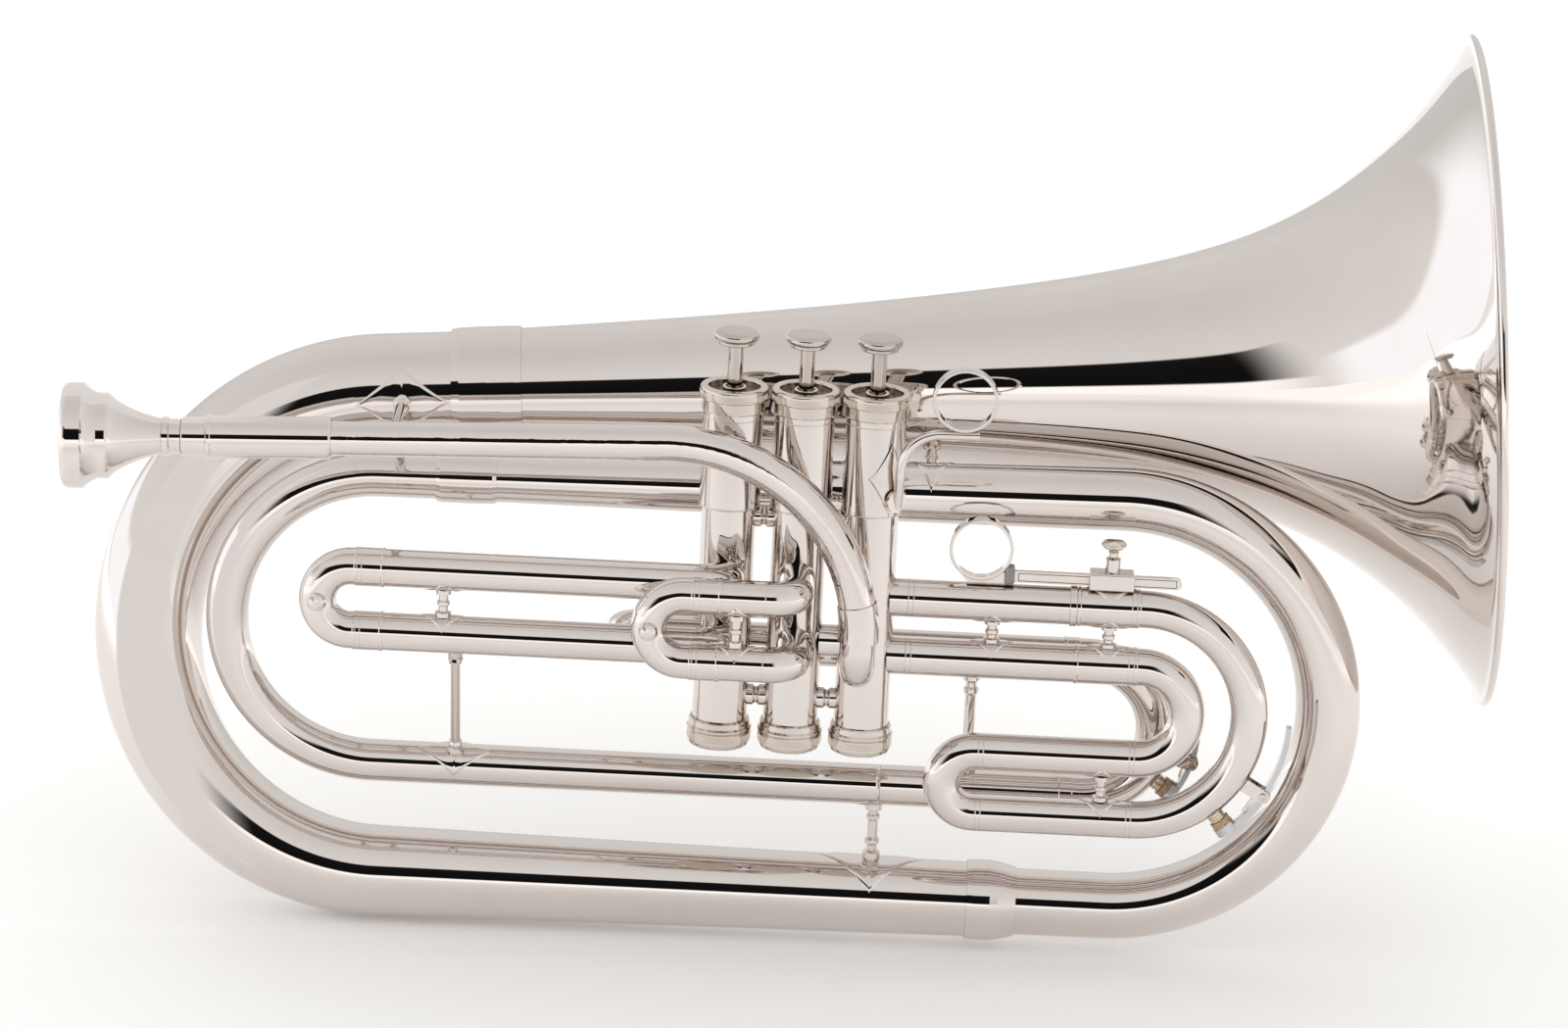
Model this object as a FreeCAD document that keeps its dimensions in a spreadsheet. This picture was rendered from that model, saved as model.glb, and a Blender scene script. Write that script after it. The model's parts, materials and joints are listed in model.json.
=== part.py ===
"""A marching baritone horn: a bell-front brass instrument with three piston valves.

Millimetres. The origin is on the second valve's axis at half the height of its casing, +X points
along the horn towards the bell, +Y away from the side that carries the leadpipe, +Z up the valves.
"""

import FreeCAD, Part
import math
import os
import Sketcher

from FreeCAD import Placement, Rotation, Vector

DIMENSIONS = [
    # tubing
    ("wall", 0.6),
    ("solder_gap", 0.05),
    ("slide_gap", 0.06),
    # valves
    ("valve_pitch", 27.0),
    ("casing_radius", 10.5),
    ("sleeve_radius", 11.5),
    ("piston_bore", 9.3),
    ("casing_bottom", -66.0),
    ("casing_step", 22.4),
    ("casing_top", 63.3),
    ("valve_travel", 14.0),
    ("cap_radius", 12.9),
    ("foot_radius", 12.4),
    ("cap_height", 9.5),
    ("foot_height", 11.0),
    ("button_radius", 8.7),
    ("button_height", 5.4),
    ("button_underside", 85.6),
    ("stem_radius", 2.9),
    ("piston_bottom", -46.0),
    ("barrel_bottom", 18.0),
    ("barrel_top", 58.5),
    ("port_radius", 5.6),
    # bell
    ("bell_rim_radius", 129.0),
    ("bell_rim_x", 258.0),
    ("bell_depth", 70.0),
    ("bell_slope", 3.95),
    ("bell_wall", 0.7),
    ("rim_bead", 1.7),
    # outer loop
    ("loop_depth", 24.0),
    ("outer_bottom", -140.0),
    ("outer_bow_x", -156.8),
    ("outer_bow_top", 39.4),
    ("bell_joint_x", -122.5),
    ("outer_joint_x", 81.0),
    # right bow, upper tube and inner loop
    ("right_bow_x", 124.2),
    ("right_bow_radius", 82.2),
    ("upper_slope", 0.9),
    ("inner_joint_x", -127.5),
    ("inner_bow_x", -160.0),
    ("inner_bow_radius", 57.5),
    # tuning slide
    ("exit_level", -29.0),
    ("exit_turn_x", -64.9),
    ("tuning_start", 36.0),
    ("tuning_joint", 103.7),
    ("tuning_top", -40.0),
    ("tuning_bow_x", 113.3),
    ("tuning_radius", 7.9),
    # third slide
    ("third_upper", -11.4),
    ("third_lower", -34.5),
    ("third_joint", 107.0),
    ("third_bow_x", 132.5),
    ("third_bow_radius", 42.4),
    ("third_return", -71.5),
    ("third_crook_x", 71.4),
    ("third_radius", 7.25),
    # first slide
    ("first_depth", -17.0),
    ("first_upper", -4.3),
    ("first_lower", -29.5),
    ("first_joint", -155.5),
    ("first_crook_x", -168.0),
    ("first_radius", 7.25),
    # second slide
    ("second_depth", -37.0),
    ("second_upper", -3.0),
    ("second_lower", -29.0),
    ("second_joint", -27.8),
    ("second_crook_x", -41.8),
    ("second_radius", 6.8),
    # leadpipe and mouthpiece
    ("lead_depth", -22.0),
    ("lead_slope", 2.1),
    ("lead_bend_x", -51.4),
    ("lead_bend_z", 51.6),
    ("lead_bend_radius", 73.0),
    ("lead_joint_x", -177.0),
    ("receiver_x", -233.0),
    ("mouthpiece_x", -277.7),
    ("lead_inlet", -37.0),
    ("lead_ferrule_radius", 7.65),
    ("knuckle_radius", 6.6),
    # finger rings
    ("hook_ring_radius", 12.4),
    ("ring_radius", 12.2),
    ("ring_band", 1.3),
    ("ring_width", 5.0),
    # third slide's adjustable ring
    ("rod_height", 4.4),
    ("rod_thickness", 2.6),
    ("block_start", 110.7),
    ("block_end", 128.0),
    ("screw_x", 119.5),
]

doc = FreeCAD.newDocument("MarchingBaritone")
sheet = doc.addObject("Spreadsheet::Sheet", "Dimensions")
for row, (alias, number) in enumerate(DIMENSIONS, start=1):
    sheet.set("A%d" % row, alias)
    sheet.set("B%d" % row, str(number))
    sheet.setAlias("B%d" % row, alias)
doc.recompute()


class Size:
    """A length that knows both its value and the spreadsheet formula that gives it."""

    def __init__(self, value, formula):
        self.value = float(value)
        self.formula = formula

    @staticmethod
    def of(thing):
        """A size, or a plain number made into one."""
        return thing if isinstance(thing, Size) else Size(thing, "%.6g" % thing)

    def join(self, other, sign, value):
        """This size and another under one arithmetic sign."""
        return Size(value, "(%s %s %s)" % (self.formula, sign, other.formula))

    def __add__(self, other):
        other = Size.of(other)
        return self.join(other, "+", self.value + other.value)

    def __sub__(self, other):
        other = Size.of(other)
        return self.join(other, "-", self.value - other.value)

    def __mul__(self, other):
        other = Size.of(other)
        return self.join(other, "*", self.value * other.value)

    def __radd__(self, other):
        return Size.of(other) + self

    def __rsub__(self, other):
        return Size.of(other) - self

    def __rmul__(self, other):
        return Size.of(other) * self

    def __neg__(self):
        return Size.of(0) - self


class Sheet:
    """The spreadsheet's cells as attributes, each one a Size."""

    def __getattr__(self, alias):
        return Size(sheet.get(alias), "Dimensions." + alias)


d = Sheet()
UP = Vector(0, 0, 1)
RIGHT = Vector(1, 0, 0)
LEFT = Vector(-1, 0, 0)
BACK = Vector(0, 1, 0)
FRONT = Vector(0, -1, 0)
LOFT_STEP = 10.0
subparts = []


def number(thing):
    """The plain value of a size or a number."""
    return Size.of(thing).value


def point(x, y, z):
    """A vector from three sizes or numbers."""
    return Vector(number(x), number(y), number(z))


def bind(thing, name, size):
    """Sets a property to a size and ties it to the spreadsheet."""
    size = Size.of(size)
    if "Dimensions" in size.formula:
        thing.setExpression(name, size.formula)
    elif "." not in name:
        setattr(thing, name, size.value)


def place(thing, at, along=UP, spin=0.0):
    """Puts a piece's own origin at a point and turns its own Z to a direction."""
    turn = Rotation(UP, along).multiply(Rotation(UP, spin))
    thing.Placement = Placement(point(*at), turn)
    for letter, size in zip("xyz", at):
        bind(thing, "Placement.Base." + letter, size)
    return thing


def subpart(label, thing):
    """Names a finished piece as a sub-part of the horn."""
    thing.Label = label
    subparts.append(thing)
    return thing


def origin_plane(body, role):
    """One of a body's own origin planes."""
    return next(f for f in body.Origin.OriginFeatures if f.Role == role)


def draw_outline(sketch, corners):
    """Draws a closed outline whose corners are held by dimensions tied to the spreadsheet."""
    count = len(corners)
    for index, (radius, height) in enumerate(corners):
        after = corners[(index + 1) % count]
        line = Part.LineSegment(point(radius, height, 0), point(after[0], after[1], 0))
        sketch.addGeometry(line, False)
    for index in range(count):
        sketch.addConstraint(Sketcher.Constraint("Coincident", index, 2, (index + 1) % count, 1))
    for index, corner in enumerate(corners):
        for letter, axis, size in (("X", -2, corner[0]), ("Y", -1, corner[1])):
            size = Size.of(size)
            if abs(size.value) < 1e-9:
                sketch.addConstraint(Sketcher.Constraint("PointOnObject", index, 1, axis))
                continue
            held = sketch.addConstraint(
                Sketcher.Constraint("Distance" + letter, -1, 1, index, 1, size.value)
            )
            if "Dimensions" in size.formula:
                sketch.setExpression("Constraints[%d]" % held, size.formula)


def round_corner(body, feature, radius, height, amount):
    """Rounds the turned edge that lies at a radius and height."""
    doc.recompute()
    names = []
    for index, edge in enumerate(feature.Shape.Edges, start=1):
        curve = edge.Curve
        if not isinstance(curve, Part.Circle) or abs(curve.Axis.z) < 0.99:
            continue
        if abs(curve.Radius - number(radius)) < 1e-4 and abs(curve.Center.z - number(height)) < 1e-4:
            names.append("Edge%d" % index)
    fillet = body.newObject("PartDesign::Fillet", "Rounding")
    fillet.Base = (feature, names)
    fillet.Radius = amount
    return fillet


def turned(outline, at, along=UP, rounds=()):
    """A lathe-turned body: an outline of (radius, height) corners spun about its own Z axis."""
    body = doc.addObject("PartDesign::Body", "Turned")
    sketch = body.newObject("Sketcher::SketchObject", "Outline")
    sketch.AttachmentSupport = [(origin_plane(body, "XZ_Plane"), "")]
    sketch.MapMode = "FlatFace"
    draw_outline(sketch, outline)
    spun = body.newObject("PartDesign::Revolution", "Spin")
    spun.Profile = sketch
    spun.ReferenceAxis = (sketch, ["V_Axis"])
    spun.Angle = 360.0
    feature = spun
    for corner, amount in rounds:
        feature = round_corner(body, feature, outline[corner][0], outline[corner][1], amount)
    return place(body, at, along)


def ring(inner, outer, length, at, along=UP, edge=0.0):
    """A plain sleeve, with its two outer edges rounded if an edge radius is given."""
    outline = [(inner, 0), (outer, 0), (outer, length), (inner, length)]
    rounds = [(1, edge), (2, edge)] if edge else []
    return turned(outline, at, along, rounds)


def rod(radius, length, at, along=UP):
    """A Part::Cylinder standing on a point."""
    piece = doc.addObject("Part::Cylinder", "Rod")
    bind(piece, "Radius", radius)
    bind(piece, "Height", length)
    return place(piece, at, along)


def block(size, at, along=UP, spin=0.0):
    """A Part::Box with one corner at a point."""
    piece = doc.addObject("Part::Box", "Block")
    for name, length in zip(("Length", "Width", "Height"), size):
        bind(piece, name, length)
    return place(piece, at, along, spin)


def cut(base, tool):
    """The base with the tool's volume taken away."""
    piece = doc.addObject("Part::Cut", "Cut")
    piece.Base = base
    piece.Tool = tool
    return piece


def fuse(*pieces):
    """Pieces joined into one solid."""
    joined = doc.addObject("Part::MultiFuse", "Fuse")
    joined.Shapes = list(pieces)
    joined.Refine = True
    return joined


def group(*pieces):
    """Separate solids kept in one sub-part."""
    held = doc.addObject("Part::Compound", "Group")
    held.Links = list(pieces)
    return held


class Run:
    """A straight stretch of a tube's centre line."""

    def __init__(self, start, end):
        self.start = start
        self.heading = (end - start).normalize()
        self.length = (end - start).Length

    def point(self, distance):
        return self.start + self.heading * distance

    def tangent(self, distance):
        return self.heading

    def edge(self):
        return Part.LineSegment(self.start, self.point(self.length)).toShape()


class Bend:
    """An arc of a centre line, turning from the across direction towards the up direction."""

    def __init__(self, centre, across, up, radius, first, last):
        self.centre = centre
        self.across = across
        self.up = up
        self.radius = radius
        self.first = math.radians(first)
        self.last = math.radians(last)
        self.length = radius * abs(self.last - self.first)

    def angle(self, distance):
        return self.first + (self.last - self.first) * distance / self.length

    def point(self, distance):
        angle = self.angle(distance)
        return self.centre + (self.across * math.cos(angle) + self.up * math.sin(angle)) * self.radius

    def tangent(self, distance):
        angle = self.angle(distance)
        way = 1.0 if self.last > self.first else -1.0
        return (self.up * math.cos(angle) - self.across * math.sin(angle)) * way

    def edge(self):
        places = [self.point(self.length * share) for share in (0.0, 0.5, 1.0)]
        return Part.Arc(*places).toShape()


def rounded(points, radii):
    """Runs and bends along a line of points, each inner point rounded by its radius."""
    stretches = []
    start = points[0]
    for before, corner, after, radius in zip(points, points[1:], points[2:], radii):
        arriving = (corner - before).normalize()
        leaving = (after - corner).normalize()
        turn = arriving.getAngle(leaving)
        reach = radius * math.tan(turn / 2)
        entry = corner - arriving * reach
        inward = (leaving - arriving * arriving.dot(leaving)).normalize()
        centre = entry + inward * radius
        if (entry - start).Length > 1e-6:
            stretches.append(Run(start, entry))
        stretches.append(Bend(centre, -inward, arriving, radius, 0.0, math.degrees(turn)))
        start = corner + leaving * reach
    if (points[-1] - start).Length > 1e-6:
        stretches.append(Run(start, points[-1]))
    return stretches


def pipe(stretches, radius, inside=None):
    """A round tube, or a rod if it has no inside radius, swept along runs and bends."""
    spine = doc.addObject("Part::Feature", "Spine")
    spine.Shape = Part.Wire([stretch.edge() for stretch in stretches])
    names = ["Edge%d" % (index + 1) for index in range(len(stretches))]
    solids = []
    for size in (radius, inside):
        if size is None:
            continue
        section = doc.addObject("Part::Circle", "Section")
        bind(section, "Radius", size)
        section.Placement = Placement(stretches[0].point(0), Rotation(UP, stretches[0].tangent(0)))
        swept = doc.addObject("Part::Sweep", "Swept")
        swept.Sections = [section]
        swept.Spine = (spine, names)
        swept.Solid = True
        swept.Frenet = False
        solids.append(swept)
    return solids[0] if inside is None else cut(*solids)


def law(stations, distance):
    """A smooth radius between (distance, radius) stations: a cubic with averaged slopes."""
    slopes = []
    for index in range(len(stations)):
        low = stations[max(index - 1, 0)]
        high = stations[min(index + 1, len(stations) - 1)]
        slopes.append((high[1] - low[1]) / (high[0] - low[0]))
    index = 0
    while index < len(stations) - 2 and distance > stations[index + 1][0]:
        index += 1
    (left, start), (right, end) = stations[index], stations[index + 1]
    span = right - left
    share = (distance - left) / span
    bend_in = share * (1 - share) ** 2 * slopes[index] * span
    bend_out = share ** 2 * (share - 1) * slopes[index + 1] * span
    blend = share ** 2 * (3 - 2 * share)
    return start + (end - start) * blend + bend_in + bend_out


def tapered(stretches, side, radii, wall):
    """A hollow conical branch lofted through circles along runs and bends.

    side is the normal of the plane that the centre line lies in; radii are the outer radius at
    each end of each stretch. The circles stand evenly, so that the loft runs true through them.
    """
    ends = [0.0]
    for stretch in stretches:
        ends.append(ends[-1] + stretch.length)
    stations = list(zip(ends, [number(radius) for radius in radii]))
    steps = round(ends[-1] / LOFT_STEP)
    frames = []
    index = 0
    for step in range(steps + 1):
        distance = ends[-1] * step / steps
        while index < len(stretches) - 1 and distance > ends[index + 1]:
            index += 1
        along = distance - ends[index]
        frames.append((stretches[index].point(along), stretches[index].tangent(along), distance))
    solids = []
    for inset in (0.0, number(wall)):
        wires = []
        for centre, heading, distance in frames:
            circle = Part.makeCircle(law(stations, distance) - inset)
            circle.Placement = Placement(centre, Rotation(side, heading.cross(side), heading, "ZXY"))
            wires.append(Part.Wire([circle]))
        solids.append(Part.makeLoft(wires, True, False))
    return shaped(solids[0].cut(solids[1]))


def shaped(shape):
    """A piece whose shape is built from the sheet's sizes in code."""
    piece = doc.addObject("Part::Feature", "Shaped")
    piece.Shape = shape
    return piece


def spun(edges):
    """A solid of revolution about Z from a closed chain of edges in the XZ plane."""
    face = Part.Face(Part.Wire(Part.__sortEdges__(edges)))
    return face.revolve(Vector(0, 0, 0), UP, 360)


def sloping(degrees):
    """A direction along +X that climbs by an angle."""
    return Vector(math.cos(math.radians(degrees)), 0, math.sin(math.radians(degrees)))


VALVES = {1: -1 * d.valve_pitch, 2: Size.of(0), 3: d.valve_pitch}


def casing_tool(valve, bottom=-80.0, height=160.0):
    """The outside of a casing, used to shape whatever is soldered to it."""
    return rod(d.casing_radius, height, (VALVES[valve], 0, bottom))


def make_valves():
    """The three casings with their caps, pistons, guides, springs, stems and buttons."""
    caps, feet, guides = [], [], []
    for valve, axis in VALVES.items():
        casing = turned(
            [
                (d.piston_bore, 0),
                (d.casing_radius, 0),
                (d.casing_radius, d.casing_step - d.casing_bottom),
                (d.sleeve_radius, d.casing_step - d.casing_bottom),
                (d.sleeve_radius, d.casing_top - d.casing_bottom),
                (d.piston_bore, d.casing_top - d.casing_bottom),
            ],
            (axis, 0, d.casing_bottom),
        )
        subpart("valve_casing_%d" % valve, casing)
        caps.append(make_top_cap(axis))
        feet.append(make_bottom_cap(axis))
        guides.append(make_guide(axis))
        make_piston(valve, axis)
        make_spring(valve, axis)
        stem_length = d.button_underside - d.barrel_top
        subpart("valve_stem_%d" % valve, rod(d.stem_radius, stem_length, (axis, 0, d.barrel_top)))
        make_button(valve, axis)
    subpart("top_valve_caps", group(*caps))
    subpart("bottom_valve_caps", group(*feet))
    subpart("valve_guides", group(*guides))


def make_top_cap(axis):
    """A screwed cap with a dished top and a collar round the stem hole."""
    skirt = 3.3
    dish = 6.6
    flange = 4.7
    hole = d.stem_radius + 0.5
    skirt_radius = d.sleeve_radius + 0.55
    outline = [
        (d.sleeve_radius + d.solder_gap, 0),
        (skirt_radius - 0.2, 0),
        (skirt_radius, 0.3),
        (skirt_radius, flange - 0.1),
        (d.cap_radius - 0.3, flange),
        (d.cap_radius, flange + 0.3),
        (d.cap_radius, d.cap_height),
        (d.cap_radius - 3.1, d.cap_height),
        (d.cap_radius - 3.3, dish),
        (d.stem_radius + 1.65, dish),
        (d.stem_radius + 1.65, d.cap_height - 0.4),
        (hole, d.cap_height - 0.4),
        (hole, skirt),
        (d.sleeve_radius + d.solder_gap, skirt),
    ]
    rounds = [(6, 1.3), (7, 0.9), (10, 0.4)]
    return turned(outline, (axis, 0, d.casing_top - skirt), rounds=rounds)


def make_bottom_cap(axis):
    """A screwed foot cap with a knurled band under a bead."""
    floor = 7.0
    outline = [
        (0, 0),
        (d.foot_radius - 2.2, 0),
        (d.foot_radius - 1.1, 0.6),
        (d.foot_radius - 0.4, 2.2),
        (d.foot_radius - 0.4, 6.0),
        (d.foot_radius - 0.6, 6.3),
        (d.foot_radius, 7.0),
        (d.foot_radius, 7.7),
        (d.foot_radius - 0.6, 8.5),
        (d.foot_radius - 0.8, d.foot_height - 0.5),
        (d.foot_radius - 1.2, d.foot_height),
        (d.casing_radius + d.solder_gap, d.foot_height),
        (d.casing_radius + d.solder_gap, floor),
        (0, floor),
    ]
    return turned(outline, (axis, 0, d.casing_bottom - floor), rounds=[(2, 0.8)])


def make_guide(axis):
    """The disc that keys the piston: its two ears reach through the barrel's slots to the casing."""
    thickness = 2.0
    ear = 3.0
    disc = rod(d.piston_bore - 1.1, thickness, (axis, 0, d.casing_step))
    reach = d.piston_bore - d.solder_gap
    ears = block((2 * reach, ear, thickness), (axis - reach, -ear / 2, d.casing_step))
    bore = doc.addObject("Part::Cylinder", "Bore")
    bind(bore, "Radius", d.piston_bore - d.solder_gap)
    bind(bore, "Height", thickness)
    place(bore, (axis, 0, d.casing_step))
    trimmed = doc.addObject("Part::Common", "Trimmed")
    trimmed.Base = fuse(disc, ears)
    trimmed.Tool = bore
    return trimmed


def make_piston(valve, axis):
    """A ported piston with its slotted spring barrel on top."""
    radius = d.piston_bore - d.slide_gap
    barrel_wall = 0.8
    plate = 3.0
    body = rod(radius, d.barrel_top - d.piston_bottom, (axis, 0, d.piston_bottom))
    hollow_height = d.barrel_top - d.barrel_bottom - plate
    hollow = rod(radius - barrel_wall, hollow_height, (axis, 0, d.barrel_bottom))
    slot = 3.6
    slot_bottom = d.casing_step - 1.2
    slot_height = d.valve_travel + 5.0
    slots = block((3 * radius, slot, slot_height), (axis - 1.5 * radius, -slot / 2, slot_bottom))
    tools = [hollow, slots]
    for level in (-38.0, -20.0, -4.0):
        port = rod(d.port_radius, 40.0, (axis - 20.0, 0, level), RIGHT)
        tools.append(port)
    ported = body
    for tool in tools:
        ported = cut(ported, tool)
    subpart("piston_%d" % valve, ported)


def make_spring(valve, axis):
    """The return spring, a helix inside the barrel between the guide and the barrel's top."""
    wire = 0.55
    coils = 7
    floor = d.casing_step + 2.0 + wire
    length = d.barrel_top - 3.0 - wire - floor
    helix = doc.addObject("Part::Helix", "Coil")
    bind(helix, "Height", length)
    bind(helix, "Pitch", length * (1.0 / coils))
    helix.Radius = 6.4
    section = doc.addObject("Part::Circle", "Wire")
    section.Radius = wire - 0.02
    section.Placement = Placement(Vector(6.4, 0, 0), Rotation(UP, BACK))
    coil = doc.addObject("Part::Sweep", "Spring")
    coil.Sections = [section]
    coil.Spine = (helix, [])
    coil.Solid = True
    coil.Frenet = True
    moved = doc.addObject("Part::Compound", "Group")
    moved.Links = [coil]
    place(moved, (axis, 0, floor))
    subpart("valve_spring_%d" % valve, moved)


def make_button(valve, axis):
    """A finger button: a domed disc over a narrower bead."""
    outline = [
        (0, 0),
        (d.button_radius - 2.0, 0),
        (d.button_radius - 1.6, 0.3),
        (d.button_radius - 1.6, 1.3),
        (d.button_radius - 0.4, 1.7),
        (d.button_radius, 2.3),
        (d.button_radius, 4.6),
        (d.button_radius - 1.6, d.button_height - 0.15),
        (0, d.button_height),
    ]
    rounds = [(3, 0.3), (6, 0.7), (7, 1.5)]
    subpart("finger_button_%d" % valve, turned(outline, (axis, 0, d.button_underside), rounds=rounds))


def spool(length, neck, collar, at, along):
    """A small turned brace: two collars and a bead with necks between them."""
    half = Size.of(length) * 0.5
    band = Size.of(length) * 0.16
    outline = [
        (0, 0),
        (collar, 0),
        (collar, band),
        (neck, band + 0.5),
        (neck, half - 1.1),
        (collar * 0.82, half - 0.6),
        (collar * 0.82, half + 0.6),
        (neck, half + 1.1),
        (neck, length - band - 0.5),
        (collar, length - band),
        (collar, length),
        (0, length),
    ]
    return turned(outline, at, along)


def waisted(length):
    """The outline of a short link: two collars with a waist between them."""
    half = length * 0.5
    collar = 4.0
    waist = 3.2
    return [
        (0, 0),
        (collar, 0),
        (collar, half - 1.2),
        (waist, half - 0.3),
        (waist, half + 0.3),
        (collar, half + 1.2),
        (collar, length),
        (0, length),
    ]


def make_casing_links():
    """Cross tubes and small turned links between neighbouring casings."""
    gap = d.valve_pitch - 2 * d.casing_radius
    bite = 1.0
    crossings = []
    for left, level in ((1, -16.0), (2, -30.0)):
        start = VALVES[left] + d.casing_radius - bite
        tube = cut(
            rod(6.2, gap + 2 * bite, (start, 0, level), RIGHT),
            rod(5.6, gap + 2 * bite, (start, 0, level), RIGHT),
        )
        for valve in (left, left + 1):
            tube = cut(tube, casing_tool(valve))
        crossings.append(tube)
    subpart("valve_crossovers", group(*crossings))
    links = []
    for left, level in ((1, 18.0), (2, 18.0), (1, -53.0), (2, -53.0)):
        start = VALVES[left] + d.casing_radius - bite
        link = turned(waisted(gap + 2 * bite), (start, 0, level), RIGHT)
        for valve in (left, left + 1):
            link = cut(link, casing_tool(valve))
        links.append(link)
    subpart("casing_links", group(*links))


def outer_bow():
    """The big left bow: it leans back as it climbs from the outer loop to the bell."""
    middle_z = (number(d.outer_bow_top) + number(d.outer_bottom)) / 2
    middle_y = (number(d.bell_depth) + number(d.loop_depth)) / 2
    lean = Vector(
        0,
        (number(d.bell_depth) - number(d.loop_depth)) / 2,
        (number(d.outer_bow_top) - number(d.outer_bottom)) / 2,
    )
    centre = Vector(number(d.outer_bow_x), middle_y, middle_z)
    radius = lean.Length
    return Bend(centre, RIGHT, lean.normalize(), radius, 90 + number(d.bell_slope), 270)


def bell_axis():
    """A point on the bell's axis at an X position, and the axis direction."""
    bow = outer_bow()
    start = bow.point(0)
    heading = -bow.tangent(0)

    def at(x):
        return start + heading * ((number(x) - start.x) / heading.x)

    return at, heading


def make_bell():
    """The bell: a spun flare with a rolled rim bead."""
    at, heading = bell_axis()
    rim = at(d.bell_rim_x)
    length = (rim - at(d.bell_joint_x)).Length
    stations = [
        (0.0, number(d.bell_rim_radius)),
        (5.0, 120.3),
        (12.0, 110.5),
        (27.0, 92.6),
        (42.0, 79.4),
        (57.0, 68.8),
        (72.0, 60.7),
        (87.0, 54.4),
        (102.0, 49.7),
        (132.0, 43.0),
        (177.0, 36.7),
        (237.0, 31.2),
        (297.0, 27.3),
        (length, 23.4),
    ]
    outside = Part.BSplineCurve()
    outside.interpolate([Vector(radius, 0, -back) for back, radius in stations])
    inner_points = []
    for back, radius in stations:
        place_on = outside.parameter(Vector(radius, 0, -back))
        along = outside.tangent(place_on)[0]
        inner_points.append(Vector(radius, 0, -back) + Vector(along.z, 0, -along.x) * number(d.bell_wall))
    inner_points[-1].z = -length
    inside = Part.BSplineCurve()
    inside.interpolate(inner_points)
    first_out, last_out = outside.StartPoint, outside.EndPoint
    first_in, last_in = inside.StartPoint, inside.EndPoint
    edges = [
        outside.toShape(),
        Part.LineSegment(last_out, last_in).toShape(),
        inside.toShape(),
        Part.LineSegment(first_in, first_out).toShape(),
    ]
    flare = spun(edges)
    bead = Part.makeTorus(number(d.bell_rim_radius) - 0.6, number(d.rim_bead))
    bell = subpart("bell", shaped(flare.fuse(bead)))
    bell.Placement = Placement(rim, Rotation(UP, heading))


def make_branches():
    """The conical branches of the long way round, from the inner loop to the bell."""
    at, heading = bell_axis()
    bow = outer_bow()
    stub = Run(at(d.bell_joint_x), bow.point(0))
    foot = bow.point(bow.length)
    straight = Run(foot, Vector(number(d.outer_joint_x), foot.y, foot.z))
    bow_first = Bend(bow.centre, bow.across, bow.up, bow.radius, 90 + number(d.bell_slope), 180)
    bow_last = Bend(bow.centre, bow.across, bow.up, bow.radius, 180, 270)
    side = bow.across.cross(bow.up)
    outer = tapered([stub, bow_first, bow_last, straight], side, [23.2, 22.9, 20.9, 17.7, 14.5], d.wall)
    subpart("outer_branch", outer)

    depth = d.loop_depth
    centre = point(d.right_bow_x, depth, d.outer_bottom + d.right_bow_radius)
    radius = number(d.right_bow_radius)
    low = Run(point(d.outer_joint_x, depth, d.outer_bottom), point(d.right_bow_x, depth, d.outer_bottom))
    rise = Bend(centre, RIGHT, UP, radius, -90, 0)
    over = Bend(centre, RIGHT, UP, radius, 0, 90 + number(d.upper_slope))
    back = -sloping(number(d.upper_slope))
    top = over.point(over.length)
    joint = top + back * ((top.x - number(d.inner_joint_x)) / -back.x)
    middle = top + (joint - top) * 0.4
    stretches = [low, rise, over, Run(top, middle), Run(middle, joint)]
    subpart("upper_branch", tapered(stretches, FRONT, [13.0, 12.9, 12.5, 12.1, 11.2, 9.0], d.wall))

    inner_radius = number(d.inner_bow_radius)
    start_x = number(d.inner_bow_x) - inner_radius * math.sin(math.radians(number(d.upper_slope)))
    entry = top + back * ((top.x - start_x) / -back.x)
    sunk = inner_radius * math.cos(math.radians(number(d.upper_slope)))
    inner_centre = Vector(number(d.inner_bow_x), number(depth), entry.z - sunk)
    falls = Bend(inner_centre, RIGHT, UP, inner_radius, 90 + number(d.upper_slope), 180)
    turns = Bend(inner_centre, RIGHT, UP, inner_radius, 180, 270)
    low_z = inner_centre.z - inner_radius
    low = Run(turns.point(turns.length), Vector(number(d.tuning_start), number(depth), low_z))
    stretches = [Run(joint, entry), falls, turns, low]
    subpart("inner_branch", tapered(stretches, FRONT, [8.8, 8.6, 8.2, 8.15, 7.85], d.wall))

    make_branch_ferrules(at, heading, joint, back)
    return low_z


def make_branch_ferrules(at, heading, joint, back):
    """The three sleeves that join bell, branches and inner loop."""
    length = 27.0
    middle = at(d.bell_joint_x) - heading * (length / 2)
    outline = [
        (23.62, 0),
        (24.0, 0),
        (24.6, 3.0),
        (24.9, length / 2),
        (24.9, length - 3.0),
        (24.7, length),
        (24.2, length),
        (23.75, length / 2),
        (23.62, length / 2 - 0.2),
    ]
    subpart("bell_ferrule", turned(outline, tuple(middle), heading))
    outline = [
        (15.08, 0),
        (15.35, 0),
        (15.65, 2.0),
        (15.75, 9.0),
        (15.3, 12.0),
        (14.7, 15.0),
        (13.6, 19.0),
        (13.15, 19.0),
        (13.15, 9.9),
        (15.08, 9.7),
    ]
    start = (d.outer_joint_x - 9.6, d.loop_depth, d.outer_bottom)
    subpart("outer_ferrule", turned(outline, start, RIGHT))
    outline = [
        (9.25, 0),
        (9.6, 0),
        (10.0, 1.5),
        (10.1, 11.5),
        (9.9, 21.5),
        (9.5, 23.0),
        (9.15, 23.0),
        (9.15, 11.6),
        (9.25, 11.4),
    ]
    start = joint - back * 11.5
    subpart("inner_ferrule", turned(outline, tuple(start), back))


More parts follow.
